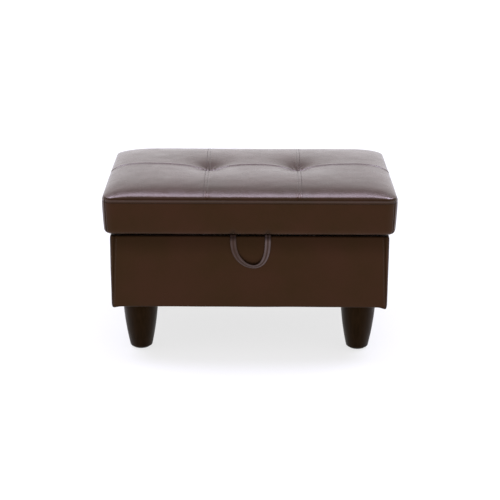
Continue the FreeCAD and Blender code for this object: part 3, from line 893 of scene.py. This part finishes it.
def lid_cushion():
    """Lid upholstery in one closed skin, with its seams."""
    beside = (1.3 * MM, 3 * MM, 5.5 * MM, 8 * MM, 9.5 * MM, 12 * MM)
    us = axis_lines(LID_HALF, TUFT_X, beside, 8 * MM)
    vs = axis_lines(LID_REACH, (CROSS_Y,), beside, 8 * MM)
    top, rings, bottom = cushion_points(us, vs, True)
    top_moved, side_moved = cushion_swelling(us, vs)
    top = top + top_moved
    rings = [ring + moved for ring, moved in zip(rings, side_moved)]
    piece = shell("lid_cushion", us, vs, top, rings, bottom, LEATHER)
    mark_cushion(piece, us, vs, len(rings))
    smooth(piece)
    seam_relief(piece)
    return piece


def mark_cushion(piece, us, vs, ring_count):
    """Store where every vertex lies, so that seams can be cut after smoothing."""
    u, v = grid(us, vs)
    outline = rim_of(us, vs)
    x, y = lid_plan(outline[:, 0], outline[:, 1], 0.0)
    sharp = np.abs(outline).min(axis=1) == 1
    corner_gap = np.hypot(x[:, None] - x[sharp], y[:, None] - y[sharp]).min(axis=1)
    marks = {
        "on_top": (1.0, 0.0, 0.0),
        "down": (0.0, np.repeat(section_depths(cushion_section(True))[1:], len(outline)), BOTTOM_MARK),
        "seam_x": (u * LID_HALF, FAR, FAR),
        "seam_y": (v * LID_REACH, FAR, FAR),
        "inside": (edge_distance(*lid_plan(u, v, SEAM_INSET)), 0.0, 0.0),
        "corner": (FAR, np.tile(corner_gap, ring_count), FAR),
    }
    lengths = (len(u), len(outline) * ring_count, len(u))
    for name, parts in marks.items():
        paint(piece, name, np.concatenate([np.broadcast_to(p, n) for p, n in zip(parts, lengths)]))


def read_mark(mesh, name):
    """Read one stored number per vertex and drop it."""
    values = np.empty(len(mesh.vertices), np.float32)
    mesh.attributes[name].data.foreach_get("value", values)
    mesh.attributes.remove(mesh.attributes[name])
    return values.astype(float)


def top_seams(mark, top, pucker):
    """Height and painted shade of the sewn lines on the top."""
    lift = np.zeros(len(top))
    painted_shade = np.zeros(len(top))
    for tuft in TUFT_X:
        gap = np.where(top, np.abs(mark["seam_x"] - tuft), FAR)
        stitch_line = tuft + math.copysign(TWIN_STITCH, tuft)
        twin = np.where(top, np.abs(mark["seam_x"] - stitch_line), FAR)
        lift += groove(gap, 0.9, 1.3, 0.3, 4, 2.5) + groove(twin, 0.35, 1.2)
        lift += 0.22 * MM * pucker * ridge(gap, 9 * MM)
        painted_shade += 0.5 * ridge(gap, 1.2 * MM) + 0.3 * ridge(twin, 0.9 * MM)
    gap = np.where(top, np.abs(mark["seam_y"] - CROSS_Y), FAR)
    lift += groove(gap, 2.8, 3.1, 0.5, 8, 4) + 0.22 * MM * pucker * ridge(gap, 9 * MM)
    return lift, painted_shade + ridge(gap, 2.7 * MM)


def edge_seams(mark, top, side, pucker):
    """Height and painted shade of the seams round the edge and down the corners."""
    skin = top | side
    gap = np.where(top, mark["inside"], mark["down"])
    lift = (groove(gap, 1.3, 1.5) + 0.25 * MM * pucker * ridge(gap, 8 * MM)) * skin
    painted_shade = 0.45 * ridge(gap, 1.2 * MM) * skin
    strip = np.where(side, mark["down"], FAR)
    lift += groove(strip - TOPSTITCH, 0.9, 1.3) + 0.8 * MM * ridge(strip - 5 * MM, 2.8 * MM)
    painted_shade += 0.7 * ridge(strip - TOPSTITCH, 1.1 * MM)
    corner = np.where(side, mark["corner"], FAR)
    lift += groove(corner, 1.3, 1.4, 0.4, 4.5, 2.6) + 0.35 * MM * pucker * ridge(corner, 10 * MM)
    return lift, painted_shade + ridge(corner, 1.2 * MM)


def tuft_folds(points, broad):
    """Short creases that run out from each tuft."""
    lift = np.zeros(len(points))
    for tuft in TUFT_X:
        dx = points[:, 0] - tuft
        dy = points[:, 1] - LID_Y - CROSS_Y
        folds = np.cos(9 * np.arctan2(dy, dx) + 3 * broad)
        lift += 0.7 * MM * folds * ridge(np.hypot(dx, dy) - 15 * MM, 13 * MM)
    return lift


def strap_dents(points, side):
    """Where the strap's two ends press into the front's lower edge, from 0 to 1."""
    front = side & (points[:, 1] < LID_LOW.y + 30 * MM)
    low = ridge(points[:, 2] - (LID_LOW.z + 7 * MM), 8 * MM)
    return front * sum(ridge(points[:, 0] - x, 8 * MM) * low for x in strap_centres())


def seam_relief(piece):
    """Cut the seams, raise their lips, pucker the leather, paint shade into the seams and dents, and mark
    where it wears.
    """
    mesh = piece.data
    names = ("on_top", "down", "seam_x", "seam_y", "inside", "corner")
    mark = {name: read_mark(mesh, name) for name in names}
    points = get_points(mesh)
    top = mark["on_top"] > 0.5
    side = ~top & (mark["down"] < 0.25)
    pucker = cloudy(points, 9 * MM, 1)
    broad = cloudy(points, 34 * MM, 2)
    lift, painted_shade = (a + b for a, b in zip(top_seams(mark, top, pucker), edge_seams(mark, top, side, pucker)))
    dents = strap_dents(points, side)
    lift += 0.35 * MM * broad * (top | side) + tuft_folds(points, broad) * top - 4.0 * MM * dents
    set_points(mesh, points + get_normals(mesh) * lift[:, None])
    # Painted shade in the sewn grooves and in the dents where the strap's ends pull in.
    paint(piece, "painted_shade", np.clip(painted_shade + 0.5 * dents, 0, 1))
    roll = ridge(mark["inside"] - 6 * MM, 5 * MM) * top + ridge(mark["down"] - 98 * MM, 8 * MM) * side
    paint(piece, "wear_and_highlight", np.clip(roll * (0.35 + 0.5 * broad), 0, 1))
    sewn = sum(ridge(mark["seam_x"] - tuft, 8 * MM) for tuft in TUFT_X) * ridge(mark["inside"], 25 * MM)
    lip = ridge(mark["down"] - 3.5 * MM, 2.6 * MM) * side
    paint(piece, "polish", np.where(top, ease(mark["inside"] / (4 * MM)) * (1 - 0.6 * sewn), lip))


def strap_centres():
    """X of the strap's two ends."""
    return TAIL_LOW.x + STRAP_WIDTH / 2, TAIL_HIGH.x - STRAP_WIDTH / 2


def top_route(x, start, end):
    """Front-to-back route over the lid's top, between two distances from its centre."""
    y = np.linspace(start, end, 160)
    x = np.full(len(y), x) + seam_shift(x / LID_HALF, y / LID_REACH)
    return np.stack([x, y + LID_Y, crown(x, y) - tuft_dip(x, y)], 1)


def band_route(us, vs, inset, z):
    """Closed route round the lid's band at one height."""
    u, v = rim_of(us, vs).T
    x, y = lid_plan(u, v, inset)
    route = points_at(x, y + LID_Y, z)
    return np.concatenate([route, route[:1]])


def lid_stitches(cushion):
    """Every visible row of stitching on the lid."""
    reach = LID_REACH - 7 * MM
    routes = []
    for tuft in TUFT_X:
        twin = tuft + math.copysign(TWIN_STITCH, tuft)
        routes.append(top_route(twin, -reach, CROSS_Y - 10 * MM))
        routes.append(top_route(twin, CROSS_Y + 10 * MM, reach))
    us = axis_lines(LID_HALF, (), (5 * MM,), 20 * MM)
    vs = axis_lines(LID_REACH, (), (5 * MM,), 20 * MM)
    routes.append(band_route(us, vs, SEAM_INSET / 2, EDGE_SEAM_Z - TOPSTITCH))
    return stitched("lid_stitches", routes, cushion)


# --- the base cover ---------------------------------------------------------

def base_section():
    """Outer and inner side of the leather: rows of (inset, height, puff share)."""
    low = BASE_LOW.z / MM
    top = BASE_HIGH.z / MM
    outer = [
        (21.5, top - 15, 0), (21.5, top - 9, 0), (21.4, top - 3.0, 0), (20.4, top - 0.7, 0),
        (18.0, top - 0.1, 0), (12.0, top - 0.05, 0), (7.0, top - 0.2, 0), (3.6, top - 1.0, 0),
        (1.4, top - 2.8, 0), (0.3, top - 6, 0.05),
    ]
    steps = 20
    for k in range(1, steps):
        share = k / steps
        outer.append((0.0, top - 6 - share * (top - low - 12), math.sin(math.pi * share) ** 0.6))
    outer += [
        (0.2, low + 6, 0.05), (0.5, low + 2.6, 0), (1.6, low + 0.6, 0), (3.6, low, 0),
        (9.0, low + 0.1, 0), (17.0, low + 0.2, 0), (25.0, low + 0.5, 0),
    ]
    inner = [
        (25.0, low + 1.4, 0), (9.0, low + 1.4, 0), (4.6, low + 1.6, 0), (3.2, low + 5, 0),
        (3.0, low + 60, 0), (3.0, top - 60, 0), (3.2, top - 6, 0), (5.0, top - 1.9, 0),
        (12.0, top - 1.3, 0), (18.0, top - 1.3, 0), (20.0, top - 2.6, 0), (20.6, top - 9, 0),
        (20.6, top - 15, 0),
    ]
    return [[(inset * MM, z * MM, puff) for inset, z, puff in side] for side in (outer, inner)]


def base_seam_inset(z):
    """How far in from each end the front's slanting seams lie at one height."""
    share = np.clip((z - BASE_LOW.z) / (BASE_HIGH.z - BASE_LOW.z), 0, 1)
    return BASE_SEAM_LOW + share * (BASE_SEAM_TOP - BASE_SEAM_LOW)


def base_ring(outline, inset, z, puff):
    """One ring of the base cover, with its puffed faces and its corner ears hanging low."""
    u, v = outline.T
    x, y = plan(u, v, BASE_HALF, BASE_REACH, BASE_CORNER_R)
    to_corner = np.hypot(np.abs(x) - BASE_HALF, np.abs(y) - BASE_REACH)
    ear = np.where(x < 0, 4.0 * MM * ridge(to_corner, 17 * MM), 6.5 * MM * ridge(to_corner, 14 * MM))
    ear = np.where(y < -BASE_REACH + 6 * MM, ear, 0.4 * ear)
    radius = max(BASE_CORNER_R - inset, 1.5 * MM)
    turned_in = inset > 10 * MM and z > BASE_HIGH.z - 30 * MM
    if turned_in:
        radius = np.interp(inset / MM, (7, 12, 18, 20.6), (8, 18, 28, 31.8)) * MM
    taper = TAPER * (BASE_HIGH.z - z) / (BASE_HIGH.z - BASE_LOW.z)
    x, y = plan(u, v, BASE_HALF - inset - taper, BASE_REACH - inset, radius, chamfer=turned_in)
    swell = puff * PUFF * ease(to_corner / (60 * MM))
    on_side = np.abs(u) == 1
    x = x + np.sign(x) * swell * on_side
    y = y + np.sign(y) * swell * ~on_side
    hang = ear * ease(1 - (z - BASE_LOW.z) / (14 * MM)) * ease((30 * MM - inset) / (20 * MM))
    return np.stack([x, y + BASE_Y, z - hang], 1)


def base_cover():
    """Leather pulled round the base, turned in at the rim and under the bottom."""
    beside = (1.5 * MM, 4 * MM, 7 * MM, 11 * MM)
    us = axis_lines(BASE_HALF, (), beside, 12 * MM)
    vs = axis_lines(BASE_REACH, (), beside, 12 * MM)
    outline = rim_of(us, vs)
    outer, inner = base_section()
    rings = [base_ring(outline, *station) for station in outer + inner]
    piece = tube_ring("base_cover", rings, LEATHER)
    paint(piece, "skin", np.repeat([1.0] * len(outer) + [0.0] * len(inner), len(outline)))
    smooth(piece)
    base_relief(piece)
    return piece


def base_relief(piece):
    """Front corner seams, soft unevenness, hem edge and the rim where the base cover wears paler, with
    painted shade in the seams, along the hem edge and under the lid's overhang.
    """
    mesh = piece.data
    skin = read_mark(mesh, "skin") > 0.6
    points = get_points(mesh)
    x, y, z = points.T
    above = z - BASE_LOW.z
    below = BASE_HIGH.z - z
    front = skin & (y < BASE_LOW.y + 4 * MM)
    gap = np.where(front, np.abs(np.abs(x) - BASE_HALF + base_seam_inset(z)), FAR)
    broad = cloudy(points * np.array([0.45, 0.45, 1.0]), 55 * MM, 4)
    lift = groove(gap, 1.0, 1.6, 0.35, 5, 3) + 0.25 * MM * cloudy(points, 10 * MM, 3) * ridge(gap, 10 * MM)
    lift += 0.7 * MM * broad * (0.6 + 0.8 * ridge(above, 45 * MM)) * skin
    lift = np.where(skin & (below < 8 * MM), np.minimum(lift, 0.0), lift)
    set_points(mesh, points + get_normals(mesh) * lift[:, None])
    # Painted shade: darker in the corner seams, along the turned hem edge and in a band under the lid's
    # overhang.
    hem = 0.35 * ridge(above - 1 * MM, 2.5 * MM)
    painted_shade_under_lid = 0.42 * ease((70 * MM - below) / (60 * MM))
    paint(piece, "painted_shade", np.clip(ridge(gap, 1.4 * MM) + hem + painted_shade_under_lid, 0, 1))
    paint(piece, "wear_and_highlight", np.clip(ridge(below - 2 * MM, 4 * MM) * (0.3 + 0.5 * broad) * skin, 0, 1))


def base_stitches(cover):
    """Stitching beside the two front corner seams."""
    z = np.linspace(BASE_HIGH.z - 8 * MM, BASE_LOW.z + 8 * MM, 60)
    x = BASE_HALF - base_seam_inset(z) - 6 * MM
    y = np.full(len(z), BASE_LOW.y)
    return stitched("base_stitches", [np.stack([side * x, y, z], 1) for side in (-1, 1)], cover)


# --- linings and dust cover -------------------------------------------------

class Cell:
    """Plan of a CAD box, for laying cloth inside it."""

    def __init__(self, low, high, corner, chamfer=False):
        self.half_x = (high.x - low.x) / 2
        self.half_y = (high.y - low.y) / 2
        self.y = (high.y + low.y) / 2
        self.corner = corner
        self.chamfer = chamfer

    def lines(self, beside, step):
        return axis_lines(self.half_x, (), beside, step), axis_lines(self.half_y, (), beside, step)

    def level(self, spots, inset, z):
        """Points for spots of the unit square, drawn in by an inset, at one height."""
        u, v = spots
        half_x = self.half_x - inset
        half_y = self.half_y - inset
        x, y = plan(u, v, half_x, half_y, self.corner, self.chamfer)
        return points_at(x, y + self.y, z)

    def inside(self, points):
        """How far inside the nearest side each point lies."""
        return np.minimum(self.half_x - np.abs(points[:, 0]), self.half_y - np.abs(points[:, 1] - self.y))


def bag_profile(floor, top):
    """Insets and heights up the wall of the bag, close to the wood until near the rim."""
    low = floor + 6 * MM
    heights = [low + k * (top - 27 * MM - low) / 12 for k in range(13)]
    return [(0.1 * MM, z) for z in heights] + [(1.8 * MM, top - 19 * MM), (1.8 * MM, top - 3 * MM)]


def bag_slack(piece, cell, floor, top):
    """Let the walls and floor of the bag hang loose, but not over the lid stays' wall plates."""
    mesh = piece.data
    points = get_points(mesh)
    facing = get_normals(mesh)
    x, y, z = points.T
    wall = cell.inside(points)
    plate_y = np.maximum(PIVOT_LOW.y - y, y - PIVOT_HIGH.y)
    plate_z = np.maximum(PIVOT_LOW.z - z, z - PIVOT_HIGH.z)
    clear = ease((np.maximum(plate_y, plate_z) - 12 * MM) / (30 * MM))
    clear = np.where(np.abs(x) > cell.half_x - 12 * MM, clear, 1.0)
    slack = cloudy(points * np.array([1.0, 1.0, 0.45]), 70 * MM, 5)
    fine = cloudy(points, 22 * MM, 6)
    hang = clear * ease((top - z) / (40 * MM)) * ease((z - floor) / (25 * MM))
    inward = (wall < 12 * MM) * hang * (1.6 * MM * (slack + 0.8) + 0.35 * MM * fine)
    lift = (z < floor + 3 * MM) * 0.8 * MM * (slack + 0.9) * ease(wall / (30 * MM))
    push_x = -np.sign(x) * (np.abs(facing[:, 0]) > 0.5) * inward
    push_y = -np.sign(y - cell.y) * (np.abs(facing[:, 1]) > 0.5) * inward
    set_points(mesh, points + np.stack([push_x, push_y, lift], 1))


def storage_bag():
    """Cloth bag of the storage space, stapled under the rim, soft at its corners."""
    cell = Cell(LINING_LOW, LINING_HIGH, CUT_CORNER, chamfer=True)
    us, vs = cell.lines((6 * MM,), 16 * MM)
    rim = rim_of(us, vs).T
    floor = LINING_LOW.z + 0.3 * MM
    top = LINING_HIGH.z - 0.5 * MM
    thick = LINING_CLOTH_THICK
    wall = bag_profile(floor, top)
    profile = [(3 * MM, floor), *wall, (1.8 * MM, top), (2.3 * MM + thick, top)]
    profile += [(inset + thick, z) for inset, z in wall[::-1]] + [(3 * MM + thick, floor + thick)]
    rings = [cell.level(rim, inset, z) for inset, z in profile]
    under = cell.level(grid(us, vs), 5 * MM, floor)
    over = cell.level(grid(us, vs), 5 * MM + thick, floor + thick)
    piece = shell("storage_bag", us, vs, under, rings, over, LINING_CLOTH)
    smooth(piece)
    bag_slack(piece, cell, floor, top)
    return piece


def flat_cloth(name, low, high, corner, material, sag):
    """Thin stapled cloth with a folded edge. sag moves its points up or down."""
    cell = Cell(low, high, corner)
    us, vs = cell.lines((2 * MM, 10 * MM, 12 * MM), 14 * MM)
    middle = (low.z + high.z) / 2
    top = cell.level(grid(us, vs), 0.5 * MM, high.z)
    bottom = cell.level(grid(us, vs), 0.5 * MM, low.z)
    piece = shell(name, us, vs, top, [cell.level(rim_of(us, vs).T, 0.0, middle)], bottom, material)
    smooth(piece)
    points = get_points(piece.data)
    inside = cell.inside(points)
    hem = 0.25 * MM * (inside < 11 * MM) * (points[:, 2] < middle)
    points[:, 2] += sag(points, inside) - hem
    set_points(piece.data, points)
    return piece


def dust_cloth():
    """Dust cloth under the base. It sags a little between the legs."""
    spots = [(x, y) for x in (PLATE_LOW.x + LEG_PLATE, PLATE_HIGH.x - LEG_PLATE)
             for y in (PLATE_LOW.y + LEG_PLATE, PLATE_HIGH.y - LEG_PLATE)]

    def sag(points, inside):
        free = ease(inside / (90 * MM))
        for x, y in spots:
            away = np.maximum(np.abs(points[:, 0] - x), np.abs(points[:, 1] - y))
            free = free * ease((away - LEG_PLATE - 4 * MM) / (60 * MM))
        return -free * (2.2 * MM + 0.8 * MM * cloudy(points, 80 * MM, 7))

    return flat_cloth("dust_cloth", DUST_LOW, DUST_HIGH, 6 * MM, DUST_CLOTH, sag)


def lid_underside():
    """Cloth under the lid, its edge lapped over the turned leather."""
    low = LID_CLOTH_LOW - Vector((2.5, 2.5, 0.45)) * MM
    high = LID_CLOTH_HIGH + Vector((2.5, 2.5, -0.45)) * MM

    def sag(points, inside):
        return 0.15 * MM * cloudy(points, 40 * MM, 8) * ease(inside / (30 * MM))

    return flat_cloth("lid_underside_cloth", low, high, 5 * MM, LINING_CLOTH, sag)


def staple_row(low, high, inset, z, pitch):
    """Staple places round a rectangle, each lying roughly along the edge."""
    spots = []
    for along_x in (True, False):
        start, end = (low.x, high.x) if along_x else (low.y, high.y)
        sides = (low.y + inset, high.y - inset) if along_x else (low.x + inset, high.x - inset)
        count = max(2, round((end - start - 2 * inset) / pitch))
        for edge, side in enumerate(sides):
            for k in range(count + 1):
                t = start + inset + (end - start - 2 * inset) * k / count
                t += 2 * MM * math.sin(5 * k + 3 * edge)
                if along_x:
                    spots.append(((t, side, z), (1.0, 0.06 * math.sin(7 * k), 0)))
                else:
                    spots.append(((side, t, z), (0.06 * math.sin(9 * k), 1.0, 0)))
    return spots


def base_staples():
    """Staples that hold the dust cloth."""
    return staples("base_staples", staple_row(DUST_LOW, DUST_HIGH, 6 * MM, DUST_LOW.z - 0.35 * MM, 48 * MM))


def lid_staples():
    """Staples that hold the cloth under the lid, left out where the strap comes through."""
    row = staple_row(LID_CLOTH_LOW, LID_CLOTH_HIGH, 3.5 * MM, LID_CLOTH_LOW.z - 0.75 * MM, 40 * MM)

    def clear(spot):
        by_strap = any(abs(spot[0] - x) < STRAP_WIDTH for x in strap_centres())
        return not (by_strap and abs(spot[1] - TAIL_LOW.y - 10 * MM) < 20 * MM)

    return staples("lid_staples", [(spot, along) for spot, along in row if clear(spot)])


def strap_staples():
    """Two staples across each of the strap's ends."""
    z = TAIL_LOW.z - 0.2 * MM
    spots = [(x, TAIL_HIGH.y - reach, z) for x in strap_centres() for reach in (6 * MM, 15 * MM)]
    return staples("strap_staples", [(spot, (1.0, 0.1, 0.0)) for spot in spots])


# --- the pull strap ---------------------------------------------------------

def strap_mesh(name, stations):
    """Closed strap through stations, each a centre, a width and a thickness direction.

    Its section is padded at both sides of a sewn middle.
    """
    half = STRAP_WIDTH / 2
    thick = STRAP_THICK / 2
    section = STRAP_OUTLINE + [(w, -t) for w, t in STRAP_OUTLINE[-2:0:-1]]
    vertices = [
        centre + wide * (w * half) + thin * (t * thick)
        for centre, wide, thin in stations for w, t in section
    ]
    piece = closed_piece(name, vertices, rod_faces(0, len(stations), len(section)), STRAP_LEATHER)
    points = get_points(piece.data)
    left, right = strap_centres()
    # Painted light: the strap is lighter towards its right end, and its crests carry painted highlights.
    rubbed_and_lit = 0.35 + 0.65 * ease((points[:, 0] - left) / (right - left))
    wear_and_highlight = np.tile(STRAP_HIGHLIGHT + STRAP_HIGHLIGHT[-2:0:-1], len(stations)) * rubbed_and_lit
    patchy = 0.75 + 0.5 * cloudy(points, 16 * MM, 9)
    paint(piece, "wear_and_highlight", np.clip(wear_and_highlight * patchy, 0, 1))
    paint(piece, "polish", 0.25 + 0.75 * wear_and_highlight)
    # Painted shadow: the strap is darker near its top, under the lid's overhang.
    paint(piece, "painted_shade", 0.9 * ease((points[:, 2] - FOLD.z + 22 * MM) / (14 * MM)))
    return piece


def loop_station(fraction):
    """Centre, width and thickness directions round the hanging loop."""
    turn = math.pi * fraction
    left, right = strap_centres()
    middle = (left + right) / 2
    reach = (right - left) / 2
    top = FOLD.z - NECK
    drop = top - (LOOP_LOW.z - 0.5 * MM)
    x = middle - reach * math.cos(turn) + LOOP_SKEW * math.sin(turn) ** 2
    z = top - drop * math.sin(turn) ** 0.8
    twist = LOOP_TWIST * math.sin(turn) ** 2
    along = Vector((reach * math.sin(turn) + LOOP_SKEW * math.sin(2 * turn), 0, -drop * math.cos(turn)))
    if fraction in (0, 1):
        along = Vector((0, 0, -1 if fraction == 0 else 1))
    along.normalize()
    out = Vector((0, -1, 0))
    wide = along.cross(out) * math.cos(twist) + out * math.sin(twist)
    thin = wide.cross(along)
    stand_off = STRAP_WIDTH / 2 * abs(math.sin(twist)) + STRAP_THICK / 2 * math.cos(twist)
    centre = Vector((x, LOOP_HIGH.y - stand_off, z))
    return centre, wide, thin


def strap_loop():
    """The loop you pull, from one neck down and round to the other."""
    turns = 72
    top = FOLD.z - SPLIT
    round_part = [loop_station(k / turns) for k in range(turns + 1)]
    necks = []
    for centre, wide, thin in (round_part[0], round_part[-1]):
        heights = [top + k * (centre.z - top) / 4 for k in range(4)]
        necks.append([(Vector((centre.x, centre.y, z)), wide, thin) for z in heights])
    return strap_mesh("pull_strap_loop", necks[0] + round_part + necks[1][::-1])


def strap_root(side):
    """Strap end stapled under the lid, curving down over the edge into the neck."""
    bend = 4.2 * MM
    flat_z = (TAIL_LOW.z + TAIL_HIGH.z) / 2 - 0.1 * MM
    neck, across, _ = loop_station(0 if side == "left" else 1)
    x, y, _ = neck
    spots = [(TAIL_HIGH.y - k * (TAIL_HIGH.y - y - bend) / 8, flat_z, 0.0) for k in range(8)]
    for k in range(9):
        angle = math.pi / 2 * k / 8
        spots.append((y + bend - bend * math.sin(angle), flat_z - bend + bend * math.cos(angle), angle))
    start = flat_z - bend
    end = FOLD.z - SPLIT - 0.2 * MM
    spots += [(y, start + (end - start) * k / 3, math.pi / 2) for k in range(1, 4)]
    stations = [
        (Vector((x, along, z)), across, Vector((0, -math.sin(angle), math.cos(angle))))
        for along, z, angle in spots
    ]
    return strap_mesh("pull_strap_root_" + side, stations)


# --- CAD nodes that keep their own shape ------------------------------------

NAMED_LOOKS = {
    "leg_": LEG_WOOD,
    "leg_glides": GLIDE_PLASTIC,
    "leg_plates": BLACK_STEEL,
    "leg_bolts": ZINC_STEEL,
    "hinge_": HINGE_STEEL,
    "stay_": HINGE_STEEL,
    "stay_wall_plate": BLACK_STEEL,
    "base_screws": ZINC_STEEL,
    "lid_screws": ZINC_STEEL,
    "tuft_ties": TWINE,
    "tuft_washers": ZINC_STEEL,
    "corner_block": PLYWOOD,
    "lid_board": PLYWOOD,
}
for wall in ("front", "back", "left", "right", "bottom"):
    NAMED_LOOKS[wall + "_panel"] = PLYWOOD


def finish_cad_nodes():
    """Give each CAD node the look with the longest matching name."""
    for name, node in frame["nodes"].items():
        matches = [key for key in NAMED_LOOKS if name.startswith(key)]
        if matches:
            node.data.materials.clear()
            node.data.materials.append(NAMED_LOOKS[max(matches, key=len)])


# --- studio -----------------------------------------------------------------

WHITE = colour(1.0, 1.0, 1.0)
ROOM_TONES = (
    (0.0, colour(1.0, 0.97, 1.0)),
    (0.42, colour(1.0, 0.96, 1.0)),
    (0.72, colour(0.52, 0.50, 0.54)),
    (1.0, colour(0.60, 0.58, 0.64)),
)


def studio_floor():
    """Pale floor."""
    look = Look("pale_floor")
    material = look.finish(
        Base_Color=look.mix(look.noise(3.0, 3.0), shade(WHITE, 0.21), shade(WHITE, 0.23)),
        Roughness=0.8,
        Specular_IOR_Level=0.1,
        Emission_Color=WHITE,
        Emission_Strength=0.72,
    )
    corners = [(-FLOOR_HALF, -FLOOR_HALF, 0), (FLOOR_HALF, -FLOOR_HALF, 0),
               (FLOOR_HALF, FLOOR_HALF, 0), (-FLOOR_HALF, FLOOR_HALF, 0)]
    make_piece("studio_floor", corners, [(0, 1, 2, 3)], material)


def studio_room():
    """Room light that fades upward from the horizon."""
    world = bpy.data.worlds.new("studio_room")
    bpy.context.scene.world = world
    world.use_nodes = True
    tree = world.node_tree
    direction = tree.nodes.new("ShaderNodeTexCoord").outputs["Generated"]
    split = tree.nodes.new("ShaderNodeSeparateXYZ")
    tree.links.new(direction, split.inputs[0])
    ramp = tree.nodes.new("ShaderNodeValToRGB")
    tree.links.new(split.outputs["Z"], ramp.inputs[0])
    ramp.color_ramp.interpolation = "EASE"
    elements = ramp.color_ramp.elements
    while len(elements) < len(ROOM_TONES):
        elements.new(0.5)
    for element, (height, tone) in zip(elements, ROOM_TONES):
        element.position = height
        element.color = tone
    background = tree.nodes["Background"]
    tree.links.new(ramp.outputs[0], background.inputs["Color"])
    background.inputs["Strength"].default_value = ROOM_STRENGTH


def add_softbox(name, power, spread, lean):
    """Wide, far light from above, leaned about X and Y by degrees."""
    data = bpy.data.lights.new(name, "SUN")
    data.energy = power
    data.angle = math.radians(spread)
    data.color = SOFTBOX_TINT
    light = bpy.data.objects.new(name, data)
    light.rotation_euler = (math.radians(lean[0]), math.radians(lean[1]), 0.0)
    bpy.context.scene.collection.objects.link(light)


def camera():
    """Long lens from in front and a little above."""
    data = bpy.data.cameras.new("camera")
    data.lens = 105.4
    data.sensor_width = 36.0
    data.shift_x = 0.0008
    view = bpy.data.objects.new("camera", data)
    view.location = CAMERA_PLACE
    tilt = Euler((math.radians(90.0 - CAMERA_DOWN), 0.0, 0.0)).to_matrix()
    view.rotation_euler = (tilt @ Euler((0.0, 0.0, CAMERA_ROLL)).to_matrix()).to_euler()
    bpy.context.scene.collection.objects.link(view)
    bpy.context.scene.camera = view


# --- assembly ---------------------------------------------------------------

def place(piece, body, slot, *nodes):
    """Ride a piece on a body and hide the CAD nodes it stands for. The slot is not used."""
    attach(piece, body)
    if nodes:
        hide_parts(*nodes)


def place_upholstery():
    """Lid cushion and base cover, each with its stitches."""
    cushion = lid_cushion()
    threads = lid_stitches(cushion)
    place(cushion, "lid", "leather", *TOP_PANELS, *BOXING, "lid_foam", "lid_wadding")
    place(threads, "lid", "leather")

    cover = base_cover()
    threads = base_stitches(cover)
    place(cover, "base", "leather", *BASE_COVERS, "base_padding")
    place(threads, "base", "leather")


def place_cloths():
    """Storage bag, dust cloth and the cloth under the lid."""
    bag = storage_bag()
    place(bag, "base", "lining_cloth", "storage_lining")
    dust = dust_cloth()
    place(dust, "base", "lining_cloth", "dust_cover")
    under = lid_underside()
    place(under, "lid", "lining_cloth", "lid_lining")


def place_strap():
    """Hanging loop, and the two ends that bend between it and the lid."""
    place(strap_loop(), "pull_strap", "leather", "pull_loop")
    for side in ("left", "right"):
        root = strap_root(side)
        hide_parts("pull_strap_tails")
        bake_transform(root)


def main():
    """Build every piece."""
    bpy.context.scene.view_settings.view_transform = "Standard"
    camera()
    studio_floor()
    studio_room()
    add_softbox("overhead_softbox", 1.1, 27.0, (-10.0, 0.0))
    add_softbox("left_softbox", 2.5, 26.0, (-14.0, -27.0))
    add_softbox("right_softbox", 2.5, 26.0, (-14.0, 27.0))
    finish_cad_nodes()
    place_upholstery()
    place_cloths()
    place(base_staples(), "base", "zinc_steel")
    place(lid_staples(), "lid", "zinc_steel")
    place(strap_staples(), "lid", "zinc_steel")
    place_strap()


main()
